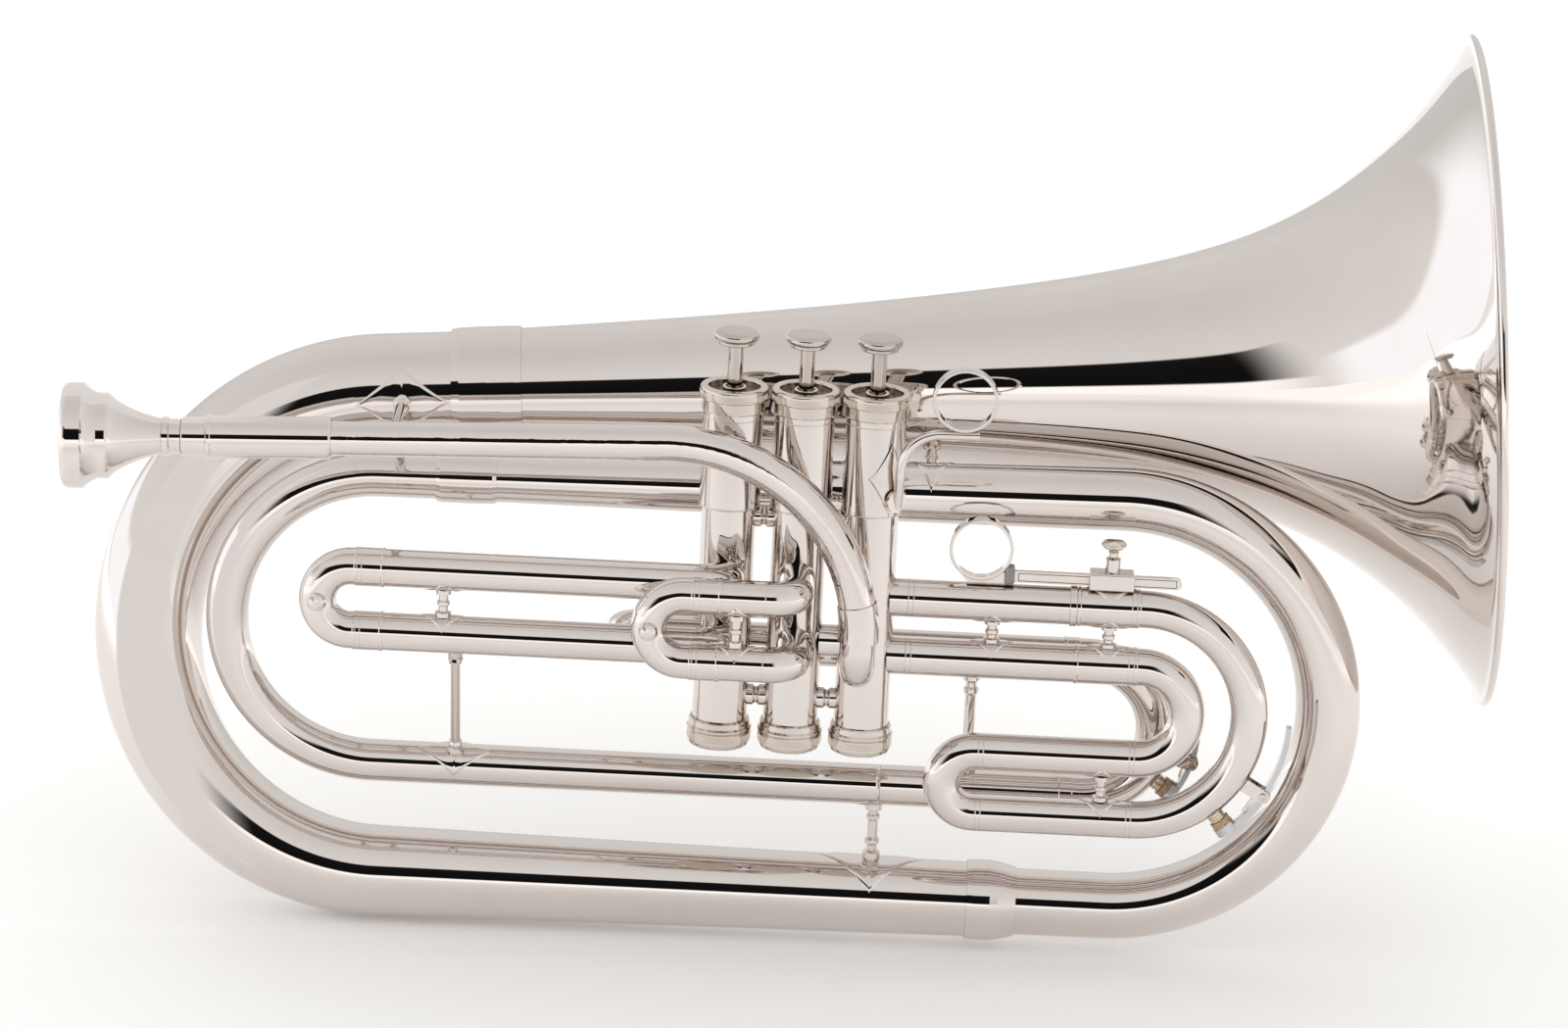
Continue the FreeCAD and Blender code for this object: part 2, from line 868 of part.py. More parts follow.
def make_tuning_slide(low_z):
    """The tuning slide's fixed sleeves with the valve exit elbow, and the moving bow and legs."""
    depth = d.loop_depth
    high_z = number(d.tuning_top)
    radius = d.tuning_radius
    elbow_end = -36.0
    sleeves = []
    for start, level in ((elbow_end, high_z), (number(d.tuning_start), low_z)):
        run = Run(Vector(start, number(depth), level), Vector(number(d.tuning_joint), number(depth), level))
        sleeves.append(pipe([run], radius, radius - d.wall))
    subpart("tuning_slide_sleeves", group(*sleeves))

    exit_z = number(d.exit_level)
    corners = [
        point(VALVES[1] - 4.0, 0, exit_z),
        point(d.exit_turn_x, 0, exit_z),
        point(d.exit_turn_x, depth, high_z),
        point(elbow_end, depth, high_z),
    ]
    turn = math.hypot(number(depth), exit_z - high_z) / 2 - 0.05
    elbow = pipe(rounded(corners, [turn, turn]), radius, radius - d.wall)
    subpart("valve_exit_elbow", cut(elbow, casing_tool(1)))

    joint = number(d.tuning_joint)
    legs = [make_leg(joint, -1, 6.3, 42.0, radius, (depth, level)) for level in (high_z, low_z)]
    subpart("tuning_slide_legs", group(*legs))
    bow_radius = (high_z - low_z) / 2
    reach = number(d.tuning_bow_x) + bow_radius
    start = joint + 3.3
    depth = number(depth)
    corners = [
        Vector(start, depth, high_z),
        Vector(reach, depth, high_z),
        Vector(reach, depth, low_z),
        Vector(start, depth, low_z),
    ]
    bow = pipe(rounded(corners, [bow_radius, bow_radius]), radius - 0.05, radius - d.wall - 0.1)
    subpart("tuning_slide_bow", bow)
    centre = Vector(number(d.tuning_bow_x), depth, (high_z + low_z) / 2)
    make_water_key("tuning", centre, bow_radius, radius, (-16.3, -35.5, 22.0))


def make_leg(joint, inward, ferrule, length, radius, line):
    """One leg of a slide: an inner tube brazed into a ferrule that stops against the sleeve."""
    depth, level = line
    leg_radius = radius - d.wall - d.slide_gap
    half = ferrule * 0.52
    outward = -inward
    heading = RIGHT if outward > 0 else LEFT
    start = (joint - outward * length, depth, level)
    tube = ring(leg_radius - 0.5, leg_radius, length + half, start, heading)
    shell = turned(
        [
            (leg_radius, 0),
            (radius + 0.45, 0),
            (radius + 0.45, 1.0),
            (radius + 0.2, 1.3),
            (radius + 0.2, ferrule - 0.4),
            (radius, ferrule),
            (radius - 0.03, ferrule),
            (radius - 0.03, half),
            (leg_radius, half),
        ],
        (joint, depth, level),
        heading,
    )
    return fuse(tube, shell)


def make_third_slide():
    """The third valve's slide: two sleeves, and one long folded bow that the ring finger pulls."""
    radius = d.third_radius
    levels = (number(d.third_upper), number(d.third_lower))
    joint = number(d.third_joint)
    sleeves = []
    for level in levels:
        start = number(VALVES[3]) + number(d.casing_radius) - 2.0
        run = Run(Vector(start, 0, level), Vector(joint, 0, level))
        sleeve = cut(pipe([run], radius, radius - d.wall), casing_tool(3))
        sleeves.append(sleeve)
    band = 2.7
    place_on = (joint - band - 0.3, 0, levels[0])
    sleeves.append(ring(radius + d.solder_gap, radius + 0.6, band, place_on, RIGHT, 0.3))
    subpart("third_slide_sleeves", group(*sleeves))
    ferrule = 24.0
    legs = [make_leg(joint, -1, ferrule, 44.0, radius, (Size.of(0), level)) for level in levels]
    subpart("third_slide_legs", group(*legs))

    bow_x = number(d.third_bow_x)
    outer = number(d.third_bow_radius)
    low = levels[0] - 2 * outer
    back = number(d.third_return)
    inner = (levels[1] - back) / 2
    crook = (back - low) / 2
    start = joint + ferrule * 0.52
    crook_end = number(d.third_crook_x) - crook
    corners = [
        Vector(start, 0, levels[0]),
        Vector(bow_x + outer, 0, levels[0]),
        Vector(bow_x + outer, 0, low),
        Vector(crook_end, 0, low),
        Vector(crook_end, 0, back),
        Vector(bow_x + inner, 0, back),
        Vector(bow_x + inner, 0, levels[1]),
        Vector(start, 0, levels[1]),
    ]
    bow = pipe(rounded(corners, [outer, outer, crook, crook, inner, inner]), radius - 0.1, radius - 0.7)
    subpart("third_slide_bow", bow)
    centre = Vector(bow_x, 0, levels[0] - outer)
    make_water_key("third", centre, outer, radius, (-31.0, -50.4, -2.0))
    braces = []
    ferrule_radius = number(radius) + 0.2
    for x, high, base in ((number(d.screw_x), levels[0], levels[1]), (120.0, back, low)):
        gap = high - base - 2 * ferrule_radius
        braces.append(spool(gap, 1.9, 3.1, (x, 0, base + ferrule_radius), UP))
    subpart("third_slide_braces", group(*braces))
    make_finger_ring(levels[0] + number(radius))


def rounded_block(length, width, height, at):
    """A block with all its edges rounded."""
    solid = doc.addObject("Part::Fillet", "RoundedBlock")
    solid.Base = block((length, width, height), at)
    doc.recompute()
    solid.Edges = [(index + 1, 0.9, 0.9) for index in range(len(solid.Base.Shape.Edges))]
    return solid


def wedge(bottom):
    """The foot under the adjustable ring, its outer end sloped up to the ring."""
    base = number(bottom)
    corners = [(64.5, base), (80.0, base), (80.0, base + 4.2), (76.0, base + 4.2), (60.6, base + 4.6)]
    wire = Part.makePolygon([Vector(x, -2.0, z) for x, z in corners + corners[:1]])
    return shaped(Part.Face(wire).extrude(Vector(0, 4.0, 0)))


def make_finger_ring(floor):
    """The adjustable ring: a flat rod clamped by a thumb screw in a block on the slide."""
    half = d.rod_thickness * 0.5
    gap = 0.08
    rod_bottom = Size.of(floor + 1.2)
    rod_top = rod_bottom + d.rod_height
    length = d.block_end - d.block_start
    base = floor + 0.25
    height = rod_top + 1.5 - base
    body = rounded_block(length, 9.0, height, (d.block_start, -4.5, base))
    channel = block(
        (length + 2.0, d.rod_thickness + 2 * gap, d.rod_height + 2 * gap),
        (d.block_start - 1.0, -half - gap, rod_bottom - gap),
    )
    collar = rod(2.9, 5.6, (d.screw_x, 0, rod_top + 1.0))
    drill = rod(1.5, 12.0, (d.screw_x, 0, rod_top - 1.0))
    subpart("ring_clamp_block", cut(cut(fuse(body, collar), channel), drill))

    bar = block((64.0, d.rod_thickness, d.rod_height), (80.0, -half, rod_bottom))
    stop = block((3.2, 4.6, 6.2), (78.9, -2.3, rod_bottom - 0.3))
    tip = rod(d.rod_height * 0.5, d.rod_thickness, (144.0, half, rod_bottom + d.rod_height * 0.5), FRONT)
    wide = d.ring_width * 0.5
    foot = wedge(rod_bottom - 0.3)
    centre_x = 69.4
    centre_z = number(rod_bottom) + 0.4 + number(d.ring_radius)
    band = ring(
        d.ring_radius - d.ring_band, d.ring_radius, d.ring_width, (centre_x, -wide, centre_z), BACK, 0.55
    )
    hole = rod(d.ring_radius - d.ring_band, d.ring_width, (centre_x, -wide, centre_z), BACK)
    arm = fuse(bar, stop, tip, cut(foot, hole), band)
    subpart("finger_ring", arm)

    top = number(rod_top)
    outline = [
        (0, 0),
        (1.42, 0),
        (1.42, 7.0),
        (1.9, 7.4),
        (1.9, 9.2),
        (1.3, 9.8),
        (1.3, 10.4),
        (4.2, 10.9),
        (4.8, 11.6),
        (4.8, 12.4),
        (4.2, 13.1),
        (0, 13.4),
    ]
    screw = turned(outline, (d.screw_x, 0, top + 0.1), rounds=[(8, 0.4), (9, 0.4)])
    subpart("thumb_screw", screw)


def make_water_key(label, centre, bow_radius, tube_radius, angles):
    """A spit key: nipple and saddle on a bow, and a sprung lever with a cork that rides over them.

    The angles are those of the hinge, the cork and the finger touch about the bow's centre.
    """
    pivot_at, cork_at, touch_at = angles
    surface = bow_radius + number(tube_radius)
    nipple = surface + 2.6
    cork = 2.6
    cup = 2.2
    inside = surface + 7.2
    thick = 2.0
    half = 2.2

    def direction(angle):
        return Vector(math.cos(math.radians(angle)), 0, math.sin(math.radians(angle)))

    out = direction(cork_at)
    spout = ring(1.6, 3.0, nipple - surface + 1.2, tuple(centre + out * (surface - 1.2)), out)
    pivot_out = direction(pivot_at)
    pivot = centre + pivot_out * (inside + thick / 2)
    ear = 1.1
    saddle = []
    for side in (-1, 1):
        inner_face = side * (half + 0.25)
        start = inner_face if side > 0 else inner_face - ear
        plate = block(
            (5.0, ear, inside + thick / 2 - surface + 0.8),
            tuple(centre + Vector(0, start, 0) + pivot_out * (surface - 0.8)),
        )
        plate.Placement = Placement(plate.Placement.Base, Rotation(BACK, 90 - pivot_at))
        plate.Placement.Base = plate.Placement.Base - pivot_out.cross(FRONT) * 2.5
        eye = rod(2.5, ear, tuple(pivot + Vector(0, start, 0)), BACK)
        saddle += [plate, eye]
    pin_length = 2 * (half + 0.25 + ear)
    pin = rod(0.9, pin_length, tuple(pivot - Vector(0, pin_length / 2, 0)), BACK)
    ring_tool = doc.addObject("Part::Torus", "BowOutside")
    ring_tool.Radius1 = bow_radius
    bind(ring_tool, "Radius2", tube_radius)
    ring_tool.Placement = Placement(centre, Rotation(RIGHT, 90))
    mount = cut(fuse(*saddle, pin), ring_tool)
    hollow = cut(spout, ring_tool)
    subpart(label + "_key_saddle", group(mount, hollow))

    lever_arc = []
    for radius, first, last in ((inside, cork_at, touch_at), (inside + thick, touch_at, cork_at)):
        lever_arc.append([centre + direction(first + (last - first) * s / 2) * radius for s in range(3)])
    low, high = lever_arc
    edges = [
        Part.Arc(*low).toShape(),
        Part.LineSegment(low[2], high[0]).toShape(),
        Part.Arc(*high).toShape(),
        Part.LineSegment(high[2], low[0]).toShape(),
    ]
    plate = Part.Face(Part.Wire(edges)).extrude(Vector(0, 2 * half, 0))
    plate.translate(Vector(0, -half, 0))
    holder = Part.makeCylinder(4.3, cup + 1.2, centre + out * (nipple + cork), out)
    eye = Part.makeCylinder(2.3, 2 * half, pivot - Vector(0, half, 0), BACK)
    bore = Part.makeCylinder(0.95, 4 * half, pivot - Vector(0, 2 * half, 0), BACK)
    lever = shaped(plate.fuse([holder, eye]).removeSplitter().cut(bore))
    subpart(label + "_water_key", lever)
    pad = shaped(Part.makeCylinder(3.9, cork - 0.05, centre + out * (nipple + 0.05), out))
    subpart(label + "_key_cork", pad)


def make_side_slide(label, valve, levels, depth, joint, crook_x, radius, start_x, bend, leg):
    """A slide in front of the valves: knuckles from a casing, sleeves, legs and a crook."""
    axis = number(VALVES[valve])
    depth_value = number(depth)
    knuckles, sleeves, legs = [], [], []
    for level in levels:
        corner = Vector(axis, depth_value, level)
        end = Vector(axis, max(-8.0, depth_value + bend + 0.5), level)
        path = rounded([Vector(start_x, depth_value, level), corner, end], [bend])
        knuckles.append(cut(pipe(path, radius, radius - d.wall), casing_tool(valve)))
        run = Run(Vector(start_x, depth_value, level), Vector(number(joint), depth_value, level))
        sleeves.append(pipe([run], radius, radius - d.wall))
        legs.append(make_leg(number(joint), 1, 11.5, leg, radius, (depth, level)))
    subpart(label + "_slide_sleeves", group(*sleeves))
    subpart(label + "_slide_legs", group(*legs))
    high, low = levels
    crook_radius = (high - low) / 2
    end = number(crook_x) - crook_radius
    start = number(joint) - 11.5 * 0.52
    corners = [
        Vector(start, depth_value, high),
        Vector(end, depth_value, high),
        Vector(end, depth_value, low),
        Vector(start, depth_value, low),
    ]
    bow = pipe(rounded(corners, [crook_radius, crook_radius]), radius - 0.1, radius - 0.7)
    knob = turned(
        [(0, 0), (3.6, 0), (3.6, 2.4), (2.9, 3.7), (1.5, 4.5), (0, 4.7)],
        (end, depth_value - number(radius) + 2.4, (high + low) / 2),
        FRONT,
    )
    subpart(label + "_slide_bow", fuse(bow, cut(knob, pipe_core(end, depth_value, high, low, radius))))
    return knuckles


def pipe_core(x, y, high, low, radius):
    """The solid inside of a crook's upright, so that a pull knob doesn't reach into the airway."""
    return rod(radius - 0.4, high - low, (x, y, low))


def make_side_slides():
    """The first and second valves' slides and the turned braces between their sleeves."""
    knuckles = make_side_slide(
        "first",
        1,
        (number(d.first_upper), number(d.first_lower)),
        d.first_depth,
        d.first_joint,
        d.first_crook_x,
        d.first_radius,
        -42.0,
        10.0,
        70.0,
    )
    knuckles += make_side_slide(
        "second",
        2,
        (number(d.second_upper), number(d.second_lower)),
        d.second_depth,
        d.second_joint,
        d.second_crook_x,
        d.second_radius,
        -10.2,
        9.5,
        14.0,
    )
    exit_tube = rod(d.tuning_radius + d.solder_gap, 40.0, (VALVES[1] - 40.0, 0, d.exit_level), RIGHT)
    subpart("slide_knuckles", group(*[cut(knuckle, exit_tube) for knuckle in knuckles]))
    braces = []
    places = [
        (-133.0, d.first_depth, d.first_upper, d.first_lower, d.first_radius),
        (-22.0, d.second_depth, d.second_upper, d.second_lower, d.second_radius),
        (75.0, Size.of(0), d.third_upper, d.third_lower, d.third_radius),
    ]
    for x, depth, high, low, radius in places:
        braces.append(spool(high - low - 2 * radius, 1.9, 3.1, (x, depth, low + radius), UP))
    subpart("slide_braces", group(*braces))


def lead_bend():
    """The leadpipe's quarter bend down to the third valve."""
    slope = math.radians(number(d.lead_slope))
    radius = number(d.lead_bend_radius)
    start = point(d.lead_bend_x, d.lead_depth, d.lead_bend_z)
    centre = start + Vector(math.sin(slope), 0, -math.cos(slope)) * radius
    return Bend(centre, RIGHT, UP, radius, 90 + number(d.lead_slope), 0)


def lead_point(x):
    """A point on the leadpipe's sloping centre line at an X position."""
    start = point(d.lead_bend_x, d.lead_depth, d.lead_bend_z)
    heading = sloping(number(d.lead_slope))
    return start + heading * ((number(x) - start.x) / heading.x)


def make_leadpipe():
    """The mouthpiece, its receiver, and the leadpipe down to the third valve."""
    heading = sloping(number(d.lead_slope))
    bend = lead_bend()
    sleeve_angle = 10.5
    upper = Bend(bend.centre, RIGHT, UP, bend.radius, 90 + number(d.lead_slope), sleeve_angle / 2)
    joint = lead_point(d.lead_joint_x)
    straight = Run(joint - heading * 9.0, bend.point(0))
    leadpipe = tapered([straight, upper], FRONT, [6.5, 7.0, 7.1], d.wall)
    subpart("leadpipe", leadpipe)
    sleeve = Bend(bend.centre, RIGHT, UP, bend.radius, sleeve_angle, 0)
    foot = sleeve.point(sleeve.length)
    lip = ring(d.knuckle_radius + d.solder_gap, d.lead_ferrule_radius, 1.2, tuple(foot), -UP)
    ferrule = pipe([sleeve], d.lead_ferrule_radius, d.lead_ferrule_radius - 0.45)
    subpart("leadpipe_ferrule", fuse(ferrule, lip))
    tail = Bend(bend.centre, RIGHT, UP, bend.radius, sleeve_angle / 2 - 0.05, 0)
    inlet = number(d.lead_inlet)
    corner = Vector(foot.x, foot.y, inlet)
    turn = rounded([foot, corner, Vector(foot.x, -6.4, inlet)], [10.5])
    knuckle = pipe([tail] + turn, d.knuckle_radius, d.knuckle_radius - d.wall)
    subpart("leadpipe_knuckle", cut(knuckle, casing_tool(3)))

    length = (joint - lead_point(d.receiver_x)).Length
    outline = [
        (6.75, 0),
        (7.1, 0),
        (7.3, 0.4),
        (7.3, 8.9),
        (8.1, 9.2),
        (8.35, 9.5),
        (8.35, 10.7),
        (8.05, 11.0),
        (8.05, length - 0.8),
        (7.5, length),
        (6.72, length),
        (6.62, length - 9.2),
        (5.9, length - 9.4),
    ]
    subpart("mouthpiece_receiver", turned(outline, tuple(lead_point(d.receiver_x)), heading))
    make_mouthpiece(heading)


def make_mouthpiece(heading):
    """The cup mouthpiece: rim, cup, throat and a tapered shank in the receiver."""
    rim = 19.9
    curves = [
        [(rim, 8.0), (18.4, 9.4), (16.9, 11.6), (16.15, 13.6)],
        [(15.6, 17.8), (13.9, 19.6), (11.5, 23.5), (9.65, 27.6), (8.2, 31.6), (7.2, 35.4), (6.8, 37.2)],
        [(12.9, 2.0), (12.4, 6.0), (10.4, 11.5), (6.6, 16.5), (3.3, 21.0)],
    ]
    lines = [
        [(rim, 2.6), (rim, 8.0)],
        [(16.15, 13.6), (16.15, 16.9), (15.6, 17.8)],
        [(6.8, 37.2), (7.4, 37.6), (7.4, 39.8), (6.7, 40.3), (6.6, 44.4), (6.3, 44.6), (5.55, 92.0)],
        [(5.55, 92.0), (4.9, 92.0), (3.3, 28.0), (3.3, 21.0)],
    ]
    edges = []
    for spots in curves:
        curve = Part.BSplineCurve()
        curve.interpolate([Vector(radius, 0, height) for radius, height in spots])
        edges.append(curve.toShape())
    for spots in lines:
        for first, after in zip(spots, spots[1:]):
            line = Part.LineSegment(Vector(first[0], 0, first[1]), Vector(after[0], 0, after[1]))
            edges.append(line.toShape())
    edges.append(Part.Arc(Vector(rim, 0, 2.6), Vector(19.0, 0, 0.7), Vector(16.6, 0, 0.0)).toShape())
    edges.append(Part.Arc(Vector(16.6, 0, 0.0), Vector(14.0, 0, 0.5), Vector(12.9, 0, 2.0)).toShape())
    mouthpiece = subpart("mouthpiece", shaped(spun(edges)))
    mouthpiece.Placement = Placement(lead_point(d.mouthpiece_x), Rotation(UP, heading))


def post(start, end, radius, collar, tools):
    """A turned post between two tubes, its ends hollowed to sit on them."""
    way = end - start
    length = way.Length
    outline = [
        (0, 0),
        (collar, 0),
        (collar, 3.2),
        (radius, 4.4),
        (radius, 6.2),
        (collar * 0.86, 7.0),
        (collar * 0.86, 8.4),
        (radius, 9.4),
        (radius, length - 7.4),
        (collar * 0.8, length - 6.4),
        (collar * 0.8, length - 5.2),
        (radius, length - 4.4),
        (radius, length - 3.6),
        (collar, length - 2.8),
        (collar, length),
        (0, length),
    ]
    piece = turned(outline, tuple(start), way.normalize())
    for tool in tools:
        piece = cut(piece, tool)
    return piece


def make_posts(low_z):
    """The posts that tie the loops together, and the brace from the leadpipe to the big bow."""
    depth = number(d.loop_depth)
    first = Vector(-128.0, number(d.first_depth), number(d.first_lower))
    inner = Vector(-128.0, depth, low_z)
    way = (inner - first).normalize()
    start = first + way * (number(d.first_radius) - 0.8)
    end = inner - way * (8.1 - 0.8)
    tools = [
        rod(d.first_radius, 30.0, (-143.0, d.first_depth, d.first_lower), RIGHT),
        rod(8.16, 30.0, (-143.0, depth, low_z), RIGHT),
    ]
    long_post = post(start, end, 1.9, 3.3, tools)

    lower_tools = [
        rod(7.9, 30.0, (19.0, depth, low_z), RIGHT),
        rod(15.35, 30.0, (19.0, depth, d.outer_bottom), RIGHT),
    ]
    start = Vector(34.0, depth, number(d.outer_bottom) + 14.4)
    lower = post(start, Vector(34.0, depth, low_z - 7.1), 2.0, 3.4, lower_tools)
    high_z = number(d.tuning_top)
    radius = number(d.tuning_radius)
    upper_tools = [
        rod(d.tuning_radius, 30.0, (54.0, depth, low_z), RIGHT),
        rod(d.tuning_radius, 30.0, (54.0, depth, d.tuning_top), RIGHT),
    ]
    start = Vector(69.0, depth, high_z - radius + 0.8)
    tuning = post(start, Vector(69.0, depth, low_z + radius - 0.8), 2.2, 3.5, upper_tools)
    at, heading = bell_axis()
    lead = lead_point(-154.5)
    bow = at(-154.5)
    way = (bow - lead).normalize()
    start = lead + way * 5.9
    end = bow - way * 22.2
    lead_tool = rod(6.7, 40.0, tuple(lead_point(-172.0)), sloping(number(d.lead_slope)))
    bow_tool = rod(23.15, 44.0, tuple(at(-174.0)), heading)
    subpart("leadpipe_brace", post(start, end, 2.0, 3.4, [lead_tool, bow_tool]))
    subpart("loop_posts", group(long_post, lower, tuning, make_bell_brace(at)))


def make_bell_brace(at):
    """The short brace between the upper tube and the bell."""
    top_x = number(d.right_bow_x)
    brace_x = 49.3
    slope = math.tan(math.radians(number(d.upper_slope)))
    top_z = number(d.outer_bottom) + 2 * number(d.right_bow_radius)
    tube = Vector(brace_x, number(d.loop_depth), top_z - (top_x - brace_x) * slope)
    bell = at(brace_x)
    way = (bell - tube).normalize()
    length = (bell - tube).Length
    start = tube + way * 10.6
    span = length - 10.6 - 33.6
    neck = spool(span, 2.1, 3.3, tuple(start), way)
    tube_tool = rod(11.75, 30.0, (brace_x - 15.0, tube.y, tube.z), RIGHT)
    return cut(neck, tube_tool)


def make_hook():
    """The little-finger hook: a bent rod from the third casing with a ring on its end."""
    depth = -12.6
    stretches = rounded(
        [
            Vector(36.4, -9.0, 27.0),
            Vector(36.9, depth, 40.0),
            Vector(37.6, depth, 57.0),
            Vector(66.0, depth, 57.6),
        ],
        [12.0, 15.0],
    )
    arm = pipe(stretches, 1.9)
    radius = d.hook_ring_radius
    centre = (60.0, depth - 2.5, 57.6 + 1.4 + number(radius))
    band = ring(radius - d.ring_band, radius, d.ring_width, centre, BACK, 0.55)
    pad = rod(4.4, 1.4, (35.3, -9.4, 29.5), Vector(0.66, -0.75, 0))
    sleeve_tool = rod(d.sleeve_radius, 60.0, (VALVES[3], 0, d.casing_step))
    joined = fuse(arm, band, pad)
    subpart("little_finger_hook", cut(cut(joined, sleeve_tool), casing_tool(3)))


def check_document():
    """Stops if any object failed, or if a sub-part has no sound shape."""
    for thing in doc.Objects:
        if "Invalid" in thing.State or "Error" in thing.State:
            raise RuntimeError("object %s (%s) failed: %s" % (thing.Name, thing.Label, thing.State))
    for piece in subparts:
        if piece.Shape.isNull() or not piece.Shape.isValid() or not piece.Shape.Solids:
            raise RuntimeError("sub-part %s has no sound shape" % piece.Label)


def write_parts():
    """Writes each sub-part to its own file."""
    os.makedirs("parts", exist_ok=True)
    for piece in subparts:
        piece.Shape.exportStep("parts/%s.step" % piece.Label)


make_valves()
make_casing_links()
make_bell()
LOW_LEVEL = make_branches()
make_tuning_slide(LOW_LEVEL)
make_third_slide()
make_side_slides()
make_leadpipe()
make_posts(LOW_LEVEL)
make_hook()
doc.recompute()
check_document()
write_parts()
print("wrote %d sub-parts" % len(subparts))
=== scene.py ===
"""The looks of a silver-plated marching baritone: materials, fine trim, studio and camera.

The trim is worked out in millimetres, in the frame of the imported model. The studio is in metres.
"""

import json
import math
from collections import namedtuple

import bpy
from mathutils import Matrix, Vector


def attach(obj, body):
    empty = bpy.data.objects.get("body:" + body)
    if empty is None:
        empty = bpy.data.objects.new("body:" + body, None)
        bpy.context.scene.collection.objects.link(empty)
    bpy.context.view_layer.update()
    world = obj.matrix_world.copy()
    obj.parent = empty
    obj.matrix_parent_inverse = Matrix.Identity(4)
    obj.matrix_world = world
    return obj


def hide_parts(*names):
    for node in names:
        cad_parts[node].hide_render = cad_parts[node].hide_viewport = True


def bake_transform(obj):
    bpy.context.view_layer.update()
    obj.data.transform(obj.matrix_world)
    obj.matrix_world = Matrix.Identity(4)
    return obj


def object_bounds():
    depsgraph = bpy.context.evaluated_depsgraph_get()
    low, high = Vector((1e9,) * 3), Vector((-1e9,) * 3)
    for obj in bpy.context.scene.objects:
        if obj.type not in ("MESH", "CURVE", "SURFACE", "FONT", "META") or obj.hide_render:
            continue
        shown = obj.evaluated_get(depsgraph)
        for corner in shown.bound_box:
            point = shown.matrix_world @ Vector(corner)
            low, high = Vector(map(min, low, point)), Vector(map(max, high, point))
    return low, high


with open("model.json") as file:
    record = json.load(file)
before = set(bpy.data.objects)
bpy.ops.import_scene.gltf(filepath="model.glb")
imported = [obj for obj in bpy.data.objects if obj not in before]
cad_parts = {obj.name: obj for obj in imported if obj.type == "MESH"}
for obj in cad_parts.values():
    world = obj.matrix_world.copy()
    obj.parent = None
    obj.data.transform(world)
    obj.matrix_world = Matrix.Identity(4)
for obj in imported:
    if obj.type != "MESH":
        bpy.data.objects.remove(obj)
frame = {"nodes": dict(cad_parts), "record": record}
CAD_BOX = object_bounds()
NODES = frame["nodes"]
MM = 0.001

RIGHT, BACK, UP = Vector((1, 0, 0)), Vector((0, 1, 0)), Vector((0, 0, 1))
FRONT, DOWN = -BACK, -UP

scene = bpy.context.scene


# ---------------------------------------------------------------- layout

VALVE_AXES = {1: -27.0, 2: 0.0, 3: 27.0}
SLEEVE_RADIUS = 11.5
WALL = 0.6

BELL_RIM_X, BELL_JOINT_X = 258.0, -122.5
BELL_RIM_RADIUS, BELL_JOINT_RADIUS, BELL_WALL = 129.0, 23.4, 0.7
BELL_DEPTH, BELL_SLOPE = 70.0, 3.95

LOOP_DEPTH = 24.0
OUTER_BOTTOM, OUTER_BOW_TOP = -140.0, 39.4
OUTER_BOW_X, OUTER_JOINT_X = -156.8, 81.0
RIGHT_BOW_X, RIGHT_BOW_RADIUS = 124.2, 82.2
UPPER_SLOPE = 0.9
INNER_JOINT_X, INNER_BOW_X, INNER_BOW_RADIUS = -127.5, -160.0, 57.5
TUNING_START, TUNING_TOP, TUNING_BOW_X, TUNING_RADIUS = 36.0, -40.0, 113.3, 7.9
THIRD_BOW_X, THIRD_BOW_RADIUS, THIRD_RADIUS = 132.5, 42.4, 7.25

LEAD_SLOPE = 2.1
LEAD_BEND = Vector((-51.4, -22.0, 51.6))

# A slide's two level runs: their Y, the upper and the lower one's Z, and their outside radius.
Runs = namedtuple("Runs", "depth upper lower radius")
FIRST_SLEEVES = Runs(-17.0, -4.3, -29.5, 7.25)
FIRST_CROOK = FIRST_SLEEVES._replace(radius=7.45)
SECOND_SLEEVES = Runs(-37.0, -3.0, -29.0, 6.8)
SECOND_CROOK = SECOND_SLEEVES._replace(radius=7.0)
THIRD_SLEEVES = Runs(0.0, -11.4, -34.5, THIRD_RADIUS)
THIRD_BOW = THIRD_SLEEVES._replace(radius=7.45)
THIRD_RETURN = Runs(0.0, -71.5, -96.2, 7.15)

ROD_BOTTOM, ROD_HEIGHT, ROD_THICKNESS = -2.95, 4.4, 2.6
SCREW_X = 119.5


# ---------------------------------------------------------------- materials


